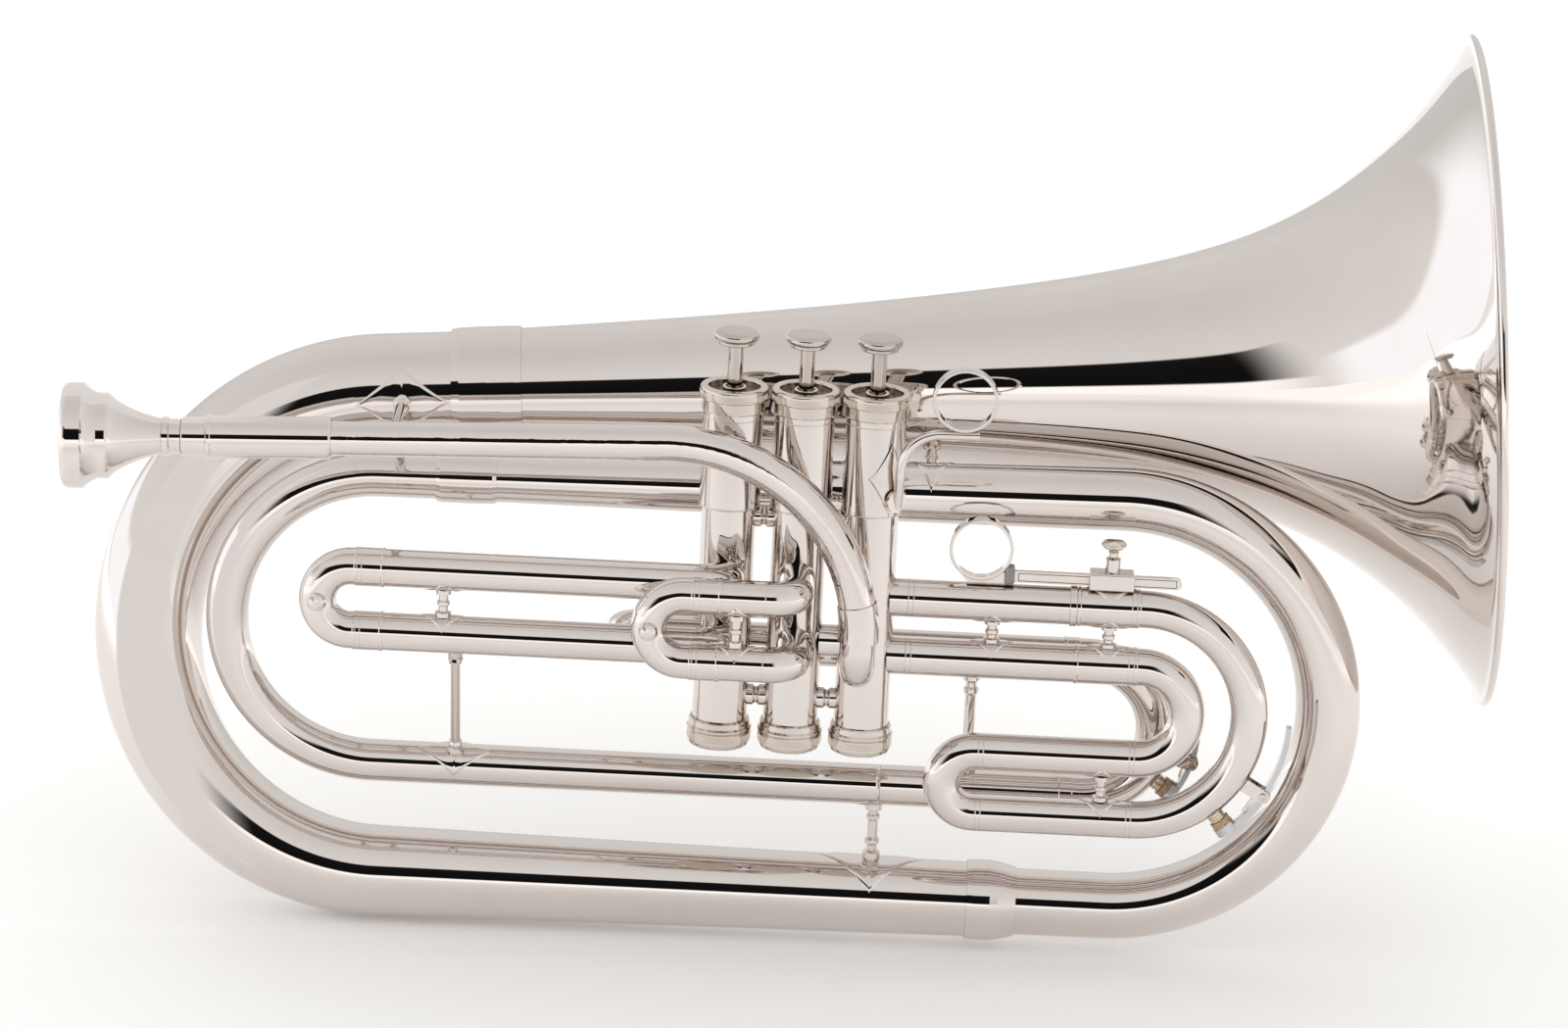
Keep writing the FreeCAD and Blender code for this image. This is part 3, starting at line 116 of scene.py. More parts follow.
class Tree:
    """A node tree with short helpers for its arithmetic and colours."""

    def __init__(self, tree):
        self.nodes = tree.nodes
        self.links = tree.links

    def spread(self, source, low, high, to_low=0.0, to_high=1.0):
        """A value's stretch from low to high mapped onto another stretch, and held at its ends."""
        node = self.nodes.new("ShaderNodeMapRange")
        node.interpolation_type = "SMOOTHSTEP"
        names = ("From Min", "From Max", "To Min", "To Max")
        for name, value in zip(names, (low, high, to_low, to_high)):
            node.inputs[name].default_value = value
        self.links.new(source, node.inputs["Value"])
        return node.outputs["Result"]

    def mix(self, share, first, second):
        """Two colours mixed by a share."""
        node = self.nodes.new("ShaderNodeMix")
        node.data_type = "RGBA"
        for index, value in ((6, first), (7, second)):
            if isinstance(value, tuple):
                node.inputs[index].default_value = (*value, 1.0)
            else:
                self.links.new(value, node.inputs[index])
        self.links.new(share, node.inputs[0])
        return node.outputs[2]

    def calc(self, operation, first, second=0.0):
        """Two values put through one arithmetic step."""
        node = self.nodes.new("ShaderNodeMath")
        node.operation = operation
        for index, value in enumerate((first, second)):
            if isinstance(value, (int, float)):
                node.inputs[index].default_value = value
            else:
                self.links.new(value, node.inputs[index])
        return node.outputs[0]

    def parts(self, source):
        """The X, Y and Z of a place or a direction."""
        node = self.nodes.new("ShaderNodeSeparateXYZ")
        self.links.new(source, node.inputs[0])
        return node.outputs


class Shader(Tree):
    """A Principled material and its textures."""

    def __init__(self, name, colour, roughness, metallic=1.0):
        self.material = bpy.data.materials.new(name)
        self.material.use_nodes = True
        super().__init__(self.material.node_tree)
        self.surface = self.nodes["Principled BSDF"]
        self.surface.inputs["Base Color"].default_value = (*colour, 1.0)
        self.surface.inputs["Roughness"].default_value = roughness
        self.surface.inputs["Metallic"].default_value = metallic
        self.place = self.nodes.new("ShaderNodeTexCoord").outputs["Object"]

    def noise(self, scale, detail=3.0, roughness=0.5, stretch=None):
        """A noise texture in object space; scale counts features per metre."""
        node = self.nodes.new("ShaderNodeTexNoise")
        node.inputs["Scale"].default_value = scale
        node.inputs["Detail"].default_value = detail
        node.inputs["Roughness"].default_value = roughness
        source = self.place
        if stretch:
            mapping = self.nodes.new("ShaderNodeMapping")
            mapping.inputs["Scale"].default_value = stretch
            self.links.new(self.place, mapping.inputs["Vector"])
            source = mapping.outputs["Vector"]
        self.links.new(source, node.inputs["Vector"])
        return node.outputs["Fac"]

    def crevice(self, distance):
        """How closed in the surface is by its surroundings: 0 in the open, 1 in a deep corner."""
        node = self.nodes.new("ShaderNodeAmbientOcclusion")
        node.samples = 6
        node.inputs["Distance"].default_value = distance
        return self.spread(node.outputs["AO"], 0.2, 0.85, 1.0, 0.0)

    def bump(self, height, strength, distance):
        """Raises the surface by a height texture."""
        node = self.nodes.new("ShaderNodeBump")
        node.inputs["Strength"].default_value = strength
        node.inputs["Distance"].default_value = distance
        self.links.new(height, node.inputs["Height"])
        self.links.new(node.outputs["Normal"], self.surface.inputs["Normal"])

    def wire(self, source, name):
        """Feeds a value or colour to one of the surface's sockets."""
        self.links.new(source, self.surface.inputs[name])


def plated(name, clean, handled, tarnish, finish, reach, amount, height):
    """Polished plate: handling haze, faint polishing marks, and tarnish that gathers in corners.

    finish is the lowest and highest roughness; reach is how far, in metres, tarnish feels a corner;
    amount is how much of it there is; height is the strength of the slight unevenness.
    """
    shader = Shader(name, clean, finish[0])
    haze = shader.noise(15.0, 4.0, 0.6)
    colour = shader.mix(shader.spread(haze, 0.35, 0.7), clean, handled)
    blotch = shader.spread(shader.noise(140.0, 3.0, 0.6), 0.3, 0.7, 0.4, 1.0)
    corner = shader.calc("MULTIPLY", shader.calc("MULTIPLY", shader.crevice(reach), blotch), amount)
    shader.wire(shader.mix(corner, colour, tarnish), "Base Color")
    marks = shader.spread(shader.noise(900.0, 2.0, 0.5, (1.0, 1.0, 6.0)), 0.3, 0.7, 0.0, 0.25)
    sheen = shader.calc("ADD", shader.spread(haze, 0.3, 0.75, 0.0, 0.75), marks)
    span = finish[1] - finish[0]
    rough = shader.calc("ADD", shader.calc("MULTIPLY", sheen, span), finish[0])
    shader.wire(shader.calc("ADD", rough, shader.calc("MULTIPLY", corner, 0.1)), "Roughness")
    shader.bump(shader.noise(24.0, 2.0, 0.4), height, 0.0004)
    return shader.material


SILVER_CLEAN = (0.75, 0.700, 0.668)
SILVER_HANDLED = (0.728, 0.676, 0.64)
TARNISH = (0.52, 0.41, 0.32)

silver = plated(
    "silver_plate", SILVER_CLEAN, SILVER_HANDLED, TARNISH,
    finish=(0.015, 0.04), reach=0.005, amount=0.9, height=0.02,
)
silver_big = plated(
    "silver_spun", SILVER_CLEAN, SILVER_HANDLED, TARNISH,
    finish=(0.02, 0.045), reach=0.004, amount=0.7, height=0.015,
)
# the bell's throat: a rougher satin plate, and a darker colour that is painted shade deep inside the bell
silver_throat_satin_and_shade = plated(
    "silver_throat_satin_and_shade", (0.62, 0.585, 0.555), (0.55, 0.51, 0.48), TARNISH,
    finish=(0.2, 0.34), reach=0.004, amount=0.7, height=0.03,
)
silver_warm = plated(
    "silver_cap", (0.69, 0.632, 0.58), (0.63, 0.56, 0.50), (0.42, 0.28, 0.18),
    finish=(0.05, 0.12), reach=0.006, amount=1.0, height=0.06,
)
# painted shade: a dark plate that stands in for shade on the caps' dish floors and along the edges of the
# rod's face
painted_shade_plate = plated(
    "silver_painted_shade", (0.26, 0.22, 0.185), (0.18, 0.15, 0.125), (0.1, 0.07, 0.05),
    finish=(0.25, 0.4), reach=0.006, amount=1.0, height=0.3,
)
satin = plated(
    "silver_satin", (0.62, 0.62, 0.62), (0.52, 0.52, 0.53), (0.36, 0.31, 0.27),
    finish=(0.2, 0.32), reach=0.003, amount=0.8, height=0.12,
)
nickel = plated(
    "nickel_plate", (0.60, 0.55, 0.51), (0.515, 0.463, 0.42), (0.30, 0.22, 0.15),
    finish=(0.03, 0.08), reach=0.004, amount=1.0, height=0.05,
)
monel = plated(
    "piston_monel", (0.62, 0.6, 0.57), (0.55, 0.53, 0.5), (0.38, 0.34, 0.3),
    finish=(0.14, 0.24), reach=0.004, amount=0.8, height=0.1,
)
wire = plated(
    "spring_wire", (0.55, 0.51, 0.45), (0.46, 0.42, 0.36), (0.3, 0.24, 0.18),
    finish=(0.2, 0.35), reach=0.002, amount=0.8, height=0.15,
)
brass = plated(
    "bare_brass", (0.74, 0.62, 0.44), (0.62, 0.50, 0.34), (0.36, 0.26, 0.16),
    finish=(0.12, 0.25), reach=0.003, amount=0.9, height=0.12,
)
grey = plated(
    "dark_guide", (0.30, 0.285, 0.285), (0.23, 0.22, 0.22), (0.14, 0.12, 0.11),
    finish=(0.3, 0.42), reach=0.003, amount=0.8, height=0.25,
)


def moulded(name, colour, shade, grain, roughness, height):
    """A soft moulded or cut material with grain of its own."""
    shader = Shader(name, colour, roughness, metallic=0.0)
    coarse = shader.noise(grain, 6.0, 0.7)
    shader.wire(shader.mix(shader.spread(coarse, 0.35, 0.65), colour, shade), "Base Color")
    shader.wire(shader.spread(coarse, 0.3, 0.7, roughness - 0.08, roughness + 0.08), "Roughness")
    shader.bump(shader.noise(grain * 3, 4.0, 0.6), height, 0.0003)
    return shader.material


nylon = moulded("guide_nylon", (0.80, 0.79, 0.74), (0.72, 0.70, 0.64), 400.0, 0.5, 0.1)
cork = moulded("key_cork", (0.66, 0.47, 0.29), (0.40, 0.25, 0.14), 900.0, 0.75, 0.5)

SLOT_LOOKS = {
    "silver_plate": silver,
    "nickel_plate": nickel,
    "piston_monel": monel,
    "spring_wire": wire,
    "guide_nylon": nylon,
    "key_cork": cork,
}
NODE_LOOKS = {
    "top_valve_caps": silver_warm,
    "bottom_valve_caps": silver_warm,
    "third_water_key": satin,
    "tuning_water_key": satin,
    "thumb_screw": silver,
}


def dress_nodes():
    """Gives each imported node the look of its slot, or a look of its own."""
    for entry in frame["record"]["subparts"]:
        name, slot = entry["node"], entry["material_slot"]
        mesh = NODES[name].data
        mesh.materials.clear()
        mesh.materials.append(NODE_LOOKS.get(name, SLOT_LOOKS[slot]))


# ---------------------------------------------------------------- meshes


def shape(name, points, faces, material, sharp=None):
    """A new smooth object, from points in millimetres; edges over the sharp angle stay crisp."""
    mesh = bpy.data.meshes.new(name)
    mesh.from_pydata([tuple(Vector(spot) * MM) for spot in points], [], faces)
    mesh.update()
    mesh.shade_smooth()
    if sharp:
        mesh.set_sharp_from_angle(angle=math.radians(sharp))
    mesh.materials.append(material)
    thing = bpy.data.objects.new(name, mesh)
    scene.collection.objects.link(thing)
    return thing


def piece(name, points, faces, material, body, stands_for=None, sharp=None):
    """A new visible piece, from points in millimetres, that rides on a body."""
    thing = shape(name, points, faces, material, sharp)
    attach(thing, body)
    if stands_for:
        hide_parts(stands_for)
    return thing


def joined(parts):
    """One list of points and faces from several."""
    points, faces = [], []
    for more_points, more_faces in parts:
        shift = len(points)
        points += more_points
        faces += [tuple(index + shift for index in face) for face in more_faces]
    return points, faces


def square_to(axis):
    """Two directions that make a right-handed set with an axis."""
    axis = axis.normalized()
    side = axis.cross(UP if abs(axis.z) < 0.9 else RIGHT).normalized()
    return side, axis.cross(side)


def lathe(outline, at, axis, steps=96, wave=None):
    """A closed turned shape. outline is (radius, distance) pairs; wave varies a pair's radius by angle."""
    axis = axis.normalized()
    side, across = square_to(axis)
    points, faces = [], []
    rows = len(outline)
    for step in range(steps):
        angle = 2 * math.pi * step / steps
        way = side * math.cos(angle) + across * math.sin(angle)
        for row, (radius, distance) in enumerate(outline):
            extra = wave(row, step) if wave else 0.0
            points.append(Vector(at) + axis * distance + way * (radius + extra))
    for step in range(steps):
        here, there = step * rows, (step + 1) % steps * rows
        for row in range(rows):
            over = (row + 1) % rows
            faces.append((here + row, there + row, there + over, here + over))
    return points, faces


def bead(at, axis, radius, width, height):
    """A fine half-round line raised round a tube, its foot sunk below the surface."""
    foot = radius - 0.25
    arcs = 8
    outline = []
    for step in range(arcs + 1):
        angle = math.pi * step / arcs
        outline.append((radius + height * math.sin(angle), -math.cos(angle) * width / 2))
    outline += [(foot, width / 2), (foot, -width / 2)]
    return lathe(outline, at, axis)


def knurl(at, axis, radius, start, end, teeth=110, depth=0.32):
    """A knurled band: upright ridges between two plain edges."""
    foot = radius - 0.4
    edge = 0.25
    outline = [
        (foot, start),
        (radius - depth, start),
        (radius, start + edge),
        (radius, end - edge),
        (radius - depth, end),
        (foot, end),
    ]

    def ridge(row, step):
        return -depth if row in (2, 3) and step % 4 in (2, 3) else 0.0

    return lathe(outline, at, axis, teeth * 4, ridge)


# ---------------------------------------------------------------- tube paths


class Run:
    """A straight stretch of a tube's centre line."""

    def __init__(self, start, end):
        self.start = Vector(start)
        self.length = (Vector(end) - self.start).length
        self.heading = (Vector(end) - self.start).normalized()

    def at(self, distance):
        """The point and the heading at a distance along the stretch."""
        return self.start + self.heading * distance, self.heading


class Bend:
    """An arc of a centre line, turning from the across direction towards the up direction."""

    def __init__(self, centre, across, up, radius, first, last):
        self.centre, self.across, self.up, self.radius = Vector(centre), across, up, radius
        self.first, self.last = math.radians(first), math.radians(last)
        self.length = radius * abs(self.last - self.first)

    def at(self, distance):
        """The point and the heading at a distance along the arc."""
        angle = self.first + (self.last - self.first) * distance / self.length
        way = 1.0 if self.last > self.first else -1.0
        out = self.across * math.cos(angle) + self.up * math.sin(angle)
        heading = (self.up * math.cos(angle) - self.across * math.sin(angle)) * way
        return self.centre + out * self.radius, heading


class Tube:
    """A tapering tube along stretches that lie in one plane, whose normal is side."""

    def __init__(self, stretches, side, radii):
        self.stretches, self.side = stretches, side
        self.ends = [0.0]
        for stretch in stretches:
            self.ends.append(self.ends[-1] + stretch.length)
        self.length = self.ends[-1]
        self.stations = list(zip(self.ends, radii))

    def radius(self, distance):
        """A cubic with averaged slopes through the stations."""
        stations = self.stations
        slopes = []
        for index in range(len(stations)):
            low, high = stations[max(index - 1, 0)], stations[min(index + 1, len(stations) - 1)]
            slopes.append((high[1] - low[1]) / (high[0] - low[0]))
        index = 0
        while index < len(stations) - 2 and distance > stations[index + 1][0]:
            index += 1
        (left, start), (right, end) = stations[index], stations[index + 1]
        span = right - left
        share = (distance - left) / span
        bend_in = share * (1 - share) ** 2 * slopes[index] * span
        bend_out = share ** 2 * (share - 1) * slopes[index + 1] * span
        return start + (end - start) * share ** 2 * (3 - 2 * share) + bend_in + bend_out

    def frame(self, distance):
        """The centre line's point, heading, and the two directions across it."""
        distance = min(max(distance, 0.0), self.length)
        index = 0
        while index < len(self.stretches) - 1 and distance > self.ends[index + 1]:
            index += 1
        place, heading = self.stretches[index].at(distance - self.ends[index])
        across = heading.cross(self.side).normalized()
        return place, heading, self.side, across

    def spot(self, distance, angle, lift=0.0):
        """A point over the surface; angle 0 faces side."""
        place, _, side, across = self.frame(distance)
        return place + (side * math.cos(angle) + across * math.sin(angle)) * (self.radius(distance) + lift)

    def facing(self, distance, way):
        """The angle whose outward direction is nearest to way."""
        _, _, side, across = self.frame(distance)
        return math.atan2(way.dot(across), way.dot(side))

    def nearest(self, place):
        """The distance along the centre line nearest to a point."""
        samples = 800
        spots = [self.length * step / samples for step in range(samples + 1)]
        return min(spots, key=lambda distance: (self.frame(distance)[0] - place).length)

    def skin(self, wall, steps, pitch):
        """The tube's closed wall."""
        rings = max(2, round(self.length / pitch))
        points, faces = [], []
        rows = 2 * (rings + 1)
        for row in range(rows):
            outer = row <= rings
            distance = self.length * (row if outer else rows - 1 - row) / rings
            for step in range(steps):
                points.append(self.spot(distance, 2 * math.pi * step / steps, 0.0 if outer else -wall))
        for row in range(rows):
            here, there = row * steps, (row + 1) % rows * steps
            for step in range(steps):
                over = (step + 1) % steps
                faces.append((here + step, here + over, there + over, there + step))
        return points, faces


def straight(start, end, radius):
    """A plain tube between two points, for trim to lie on."""
    heading = (Vector(end) - Vector(start)).normalized()
    side, _ = square_to(heading)
    return Tube([Run(start, end)], side, [radius, radius])


def diamond(tube, distance, way, half_length, half_width, thick):
    """A thin diamond flange soldered on a tube, pointed along it, its edge bevelled to the surface."""
    middle = tube.facing(distance, way)
    radius = tube.radius(distance)
    around = 96
    fullness = 0.88
    rings = ((0.35, thick), (0.7, thick), (0.86, thick), (0.94, thick * 0.85), (1.0, -0.12))
    points, faces = [tube.spot(distance, middle, thick)], []
    for share, lift in rings:
        for step in range(around):
            angle = 2 * math.pi * step / around
            cosine, sine = math.cos(angle), math.sin(angle)
            reach = 1.0 / (abs(cosine) ** fullness + abs(sine) ** fullness) ** (1 / fullness)
            along = cosine * reach * half_length * share
            aside = sine * reach * half_width * share / radius
            points.append(tube.spot(distance + along, middle + aside, lift))
    for step in range(around):
        faces.append((0, 1 + step, 1 + (step + 1) % around))
    for row in range(len(rings) - 1):
        start = 1 + row * around
        for step in range(around):
            over = (step + 1) % around
            faces.append((start + step, start + around + step, start + around + over, start + over))
    return points, faces


# ---------------------------------------------------------------- the horn's big tubes

BOW_CENTRE = Vector((OUTER_BOW_X, (LOOP_DEPTH + BELL_DEPTH) / 2, (OUTER_BOTTOM + OUTER_BOW_TOP) / 2))
BOW_LEAN = Vector((0, (BELL_DEPTH - LOOP_DEPTH) / 2, (OUTER_BOW_TOP - OUTER_BOTTOM) / 2))
BOW_RADIUS = BOW_LEAN.length
LEAN = BOW_LEAN.normalized()
BOW_TOP, BOW_TOP_HEADING = Bend(BOW_CENTRE, RIGHT, LEAN, BOW_RADIUS, 90 + BELL_SLOPE, 270).at(0.0)
BELL_HEADING = -BOW_TOP_HEADING


def bell_point(x):
    """A point on the bell's axis at an X position."""
    return BOW_TOP + BOW_TOP_HEADING * ((x - BOW_TOP.x) / BOW_TOP_HEADING.x)


OUTER = Tube(
    [
        Run(bell_point(BELL_JOINT_X), bell_point(BOW_TOP.x)),
        Bend(BOW_CENTRE, RIGHT, LEAN, BOW_RADIUS, 90 + BELL_SLOPE, 180),
        Bend(BOW_CENTRE, RIGHT, LEAN, BOW_RADIUS, 180, 270),
        Run((OUTER_BOW_X, LOOP_DEPTH, OUTER_BOTTOM), (OUTER_JOINT_X, LOOP_DEPTH, OUTER_BOTTOM)),
    ],
    RIGHT.cross(LEAN).normalized(),
    [23.2, 22.9, 20.9, 17.7, 14.5],
)

UPPER_TILT = math.radians(UPPER_SLOPE)
TOP_BACK = -Vector((math.cos(UPPER_TILT), 0, math.sin(UPPER_TILT)))
RIGHT_BOW = Vector((RIGHT_BOW_X, LOOP_DEPTH, OUTER_BOTTOM + RIGHT_BOW_RADIUS))
OVER = Bend(RIGHT_BOW, RIGHT, UP, RIGHT_BOW_RADIUS, 0, 90 + UPPER_SLOPE)
TOP = OVER.at(OVER.length)[0]


def top_tube(x):
    """A point on the upper tube's axis at an X position."""
    return TOP + TOP_BACK * ((TOP.x - x) / -TOP_BACK.x)


JOINT = top_tube(INNER_JOINT_X)
TAPER_START = TOP + (JOINT - TOP) * 0.4
UPPER = Tube(
    [
        Run((OUTER_JOINT_X, LOOP_DEPTH, OUTER_BOTTOM), (RIGHT_BOW_X, LOOP_DEPTH, OUTER_BOTTOM)),
        Bend(RIGHT_BOW, RIGHT, UP, RIGHT_BOW_RADIUS, -90, 0),
        OVER,
        Run(TOP, TAPER_START),
        Run(TAPER_START, JOINT),
    ],
    FRONT,
    [13.0, 12.9, 12.5, 12.1, 11.2, 9.0],
)

ENTRY = top_tube(INNER_BOW_X - INNER_BOW_RADIUS * math.sin(UPPER_TILT))
INNER_CENTRE = Vector((INNER_BOW_X, LOOP_DEPTH, ENTRY.z - INNER_BOW_RADIUS * math.cos(UPPER_TILT)))
LOW_Z = INNER_CENTRE.z - INNER_BOW_RADIUS
INNER = Tube(
    [
        Run(JOINT, ENTRY),
        Bend(INNER_CENTRE, RIGHT, UP, INNER_BOW_RADIUS, 90 + UPPER_SLOPE, 180),
        Bend(INNER_CENTRE, RIGHT, UP, INNER_BOW_RADIUS, 180, 270),
        Run((INNER_BOW_X, LOOP_DEPTH, LOW_Z), (TUNING_START, LOOP_DEPTH, LOW_Z)),
    ],
    FRONT,
    [8.8, 8.6, 8.2, 8.15, 7.85],
)


def smooth_curve(places, spacing):
    """Points along a natural cubic through places, which are spaced by the lengths between them."""
    count = len(places)
    gaps = [math.dist(place, after) for place, after in zip(places, places[1:])]
    bends = [[0.0, 0.0] for _ in places]
    for part in range(2):
        lower, upper = [0.0] * count, [0.0] * count
        diagonal, value = [1.0] * count, [0.0] * count
        for i in range(1, count - 1):
            lower[i], upper[i], diagonal[i] = gaps[i - 1], gaps[i], 2 * (gaps[i - 1] + gaps[i])
            rise = (places[i + 1][part] - places[i][part]) / gaps[i]
            value[i] = 6 * (rise - (places[i][part] - places[i - 1][part]) / gaps[i - 1])
        for i in range(1, count):
            factor = lower[i] / diagonal[i - 1]
            diagonal[i] -= factor * upper[i - 1]
            value[i] -= factor * value[i - 1]
        bends[-1][part] = value[-1] / diagonal[-1]
        for i in range(count - 2, -1, -1):
            bends[i][part] = (value[i] - upper[i] * bends[i + 1][part]) / diagonal[i]
    curve = []
    for i, gap in enumerate(gaps):
        pieces = max(2, math.ceil(gap / spacing))
        for step in range(pieces):
            done = step / pieces
            left = 1 - done
            spot = []
            for part in range(2):
                start_bend, end_bend = bends[i][part], bends[i + 1][part]
                cubic = ((left ** 3 - left) * start_bend + (done ** 3 - done) * end_bend) * gap * gap / 6
                spot.append(places[i][part] * left + places[i + 1][part] * done + cubic)
            curve.append(tuple(spot))
    curve.append(tuple(places[-1]))
    return curve


# The bell's outside: radius, and distance from the rim along its axis.
BELL_STATIONS = [
    (BELL_RIM_RADIUS, 0.0),
    (120.3, -5.0),
    (110.5, -12.0),
    (92.6, -27.0),
    (79.4, -42.0),
    (68.8, -57.0),
    (60.7, -72.0),
    (54.4, -87.0),
    (49.7, -102.0),
    (43.0, -132.0),
    (36.7, -177.0),
    (31.2, -237.0),
    (27.3, -297.0),
]


def make_bell():
    """The spun bell, with the bead rolled round its rim; deep inside, a rougher satin plate whose darker
    colour is painted shade.
    """
    bead_centre, bead_radius, bead_arcs = 128.4, 1.65, 14
    outside_end, inside_end = 127.2, 126.8
    satin_shade_depth = 62.0
    rim = bell_point(BELL_RIM_X)
    length = (rim - bell_point(BELL_JOINT_X)).length
    outside = smooth_curve(BELL_STATIONS + [(BELL_JOINT_RADIUS, -length)], 2.5)
    inside = []
    for index, (radius, back) in enumerate(outside):
        before, after = outside[max(index - 1, 0)], outside[min(index + 1, len(outside) - 1)]
        along = Vector((after[0] - before[0], after[1] - before[1])).normalized()
        inside.append((radius + along.y * BELL_WALL, back - along.x * BELL_WALL))
    inside[-1] = (inside[-1][0], -length)
    roll = []
    for step in range(bead_arcs + 1):
        angle = math.radians(-120 + 300 * step / bead_arcs)
        roll.append((bead_centre + bead_radius * math.cos(angle), bead_radius * math.sin(angle)))
    outer = [spot for spot in outside if spot[0] < outside_end]
    inner = [spot for spot in inside if spot[0] < inside_end]
    profile = outer[::-1] + roll + inner
    points, faces = lathe(profile, rim, BELL_HEADING, 256)
    bell = piece("bell_spun", points, faces, silver_big, "horn", stands_for="bell")
    # painted shade: inward faces deeper than the given depth take the darker throat plate
    bell.data.materials.append(silver_throat_satin_and_shade)
    for face in bell.data.polygons:
        spot = face.center / MM - rim
        along = spot.dot(BELL_HEADING)
        facing_in = face.normal.dot(spot - BELL_HEADING * along) < 0
        if facing_in and along < -satin_shade_depth:
            face.material_index = 1


def make_big_tubes():
    """The three conical branches as smooth drawn tubes."""
    branches = (("outer_branch", OUTER, 160), ("upper_branch", UPPER, 128), ("inner_branch", INNER, 128))
    for name, tube, steps in branches:
        points, faces = tube.skin(WALL, steps, pitch=2.0)
        piece(name + "_drawn", points, faces, silver_big, "horn", stands_for=name)


# ---------------------------------------------------------------- trim

LEAD_TILT = math.radians(LEAD_SLOPE)
LEAD_HEADING = Vector((math.cos(LEAD_TILT), 0, math.sin(LEAD_TILT)))


def lead_point(x):
    """A point on the leadpipe's axis at an X position."""
    return LEAD_BEND + LEAD_HEADING * ((x - LEAD_BEND.x) / LEAD_HEADING.x)


def plate_on(runs, level, x, way, half_length=8.4, thick=0.45):
    """A diamond plate on a level tube at an X position, centred on the side that faces way."""
    reach = 30.0
    tube = straight((x - reach, runs.depth, level), (x + reach, runs.depth, level), runs.radius)
    return diamond(tube, reach, way, half_length, 9.0, thick)


def plates_between(runs, x):
    """The two plates under a brace that stands between a slide's runs."""
    return [plate_on(runs, runs.upper, x, DOWN), plate_on(runs, runs.lower, x, UP)]


def make_horn_flanges():
    """The plates under the posts and braces that stand on the horn itself."""
    lead_brace_x, first_post_x, loop_post_x, bell_arm_x = -154.5, -128.0, 34.0, 49.3
    bow_foot = bell_point(lead_brace_x)
    brace = (bow_foot - lead_point(lead_brace_x)).normalized()
    loop_foot = Vector((loop_post_x, LOOP_DEPTH, OUTER_BOTTOM))
    post_foot = Vector((first_post_x, LOOP_DEPTH, LOW_Z))
    post_top = Vector((first_post_x, FIRST_SLEEVES.depth, FIRST_SLEEVES.lower))
    post = (post_foot - post_top).normalized()
    inner_foot = Vector((loop_post_x, LOOP_DEPTH, LOW_Z))
    arm_foot = top_tube(bell_arm_x)
    arm = (bell_point(bell_arm_x) - arm_foot).normalized()
    plates = [
        diamond(OUTER, OUTER.nearest(bow_foot), -brace, half_length=18.6, half_width=15.0, thick=0.5),
        diamond(OUTER, OUTER.nearest(loop_foot), UP, half_length=20.5, half_width=18.5, thick=0.5),
        diamond(INNER, INNER.nearest(post_foot), -post, half_length=15.0, half_width=10.7, thick=0.45),
        diamond(INNER, INNER.nearest(inner_foot), DOWN, half_length=10.0, half_width=7.0, thick=0.35),
        diamond(UPPER, UPPER.nearest(arm_foot), arm, half_length=14.0, half_width=27.0, thick=0.4),
    ]
    for runs, brace_x in ((FIRST_SLEEVES, -133.0), (SECOND_SLEEVES, -22.0), (THIRD_SLEEVES, 75.0)):
        plates += plates_between(runs, brace_x)
    points, faces = joined(plates)
    piece("brace_flanges", points, faces, silver, "horn", sharp=50)


def make_third_flanges():
    """The plates that ride on the third slide: under its two braces and under the ring's clamp."""
    plates = plates_between(THIRD_BOW, SCREW_X)
    plates.append(plate_on(THIRD_BOW, THIRD_BOW.upper, SCREW_X, UP, half_length=9.8, thick=0.5))
    return_brace_x = 120.0
    plates += plates_between(THIRD_RETURN, return_brace_x)
    points, faces = joined(plates)
    piece("third_slide_flanges", points, faces, silver, "third_slide", sharp=50)


def make_hook_plate():
    """The plate that holds the little-finger hook on the third casing."""
    low, middle, high = 10.0, 38.0, 60.0
    toward_hook = Vector((0.55, -0.83, 0))
    axis = VALVE_AXES[3]
    casing = straight((axis, 0, low), (axis, 0, high), SLEEVE_RADIUS)
    points, faces = diamond(
        casing, middle - low, toward_hook, half_length=15.0, half_width=8.8, thick=0.55
    )
    piece("hook_plate", points, faces, silver, "horn", sharp=50)


def lines_on(runs, places, height=0.16):
    """Fine turned lines round both of a slide's runs, at some X positions."""
    lines = []
    for level in (runs.upper, runs.lower):
        for x in places:
            lines.append(bead((x, runs.depth, level), RIGHT, runs.radius, width=0.5, height=height))
    return lines


def make_ring_lines():
    """The fine turned lines by the ferrules, and at the top and the foot of each casing's sleeve."""
    sleeve_top, sleeve_foot = 57.6, 22.8
    fixed = []
    for axis in VALVE_AXES.values():
        fixed.append(bead((axis, 0, sleeve_top), UP, SLEEVE_RADIUS, width=0.5, height=0.14))
        fixed.append(bead((axis, 0, sleeve_foot), UP, SLEEVE_RADIUS, width=0.6, height=0.2))
    fixed += lines_on(THIRD_SLEEVES, (42.6, 44.6))
    fixed += lines_on(SECOND_SLEEVES, (-11.4,), height=0.14)
    points, faces = joined(fixed)
    piece("ferrule_lines", points, faces, silver, "horn", sharp=60)
    groups = {
        "first_slide": lines_on(FIRST_CROOK, (-165.9, -164.1)),
        "second_slide": lines_on(SECOND_CROOK, (-38.1, -36.3)),
        "third_slide": lines_on(THIRD_BOW, (127.6, 129.6))
        + lines_on(THIRD_RETURN, (72.4, 74.2, 130.0, 131.8)),
    }
    for body, lines in groups.items():
        points, faces = joined(lines)
        piece(body + "_lines", points, faces, silver, body, sharp=60)


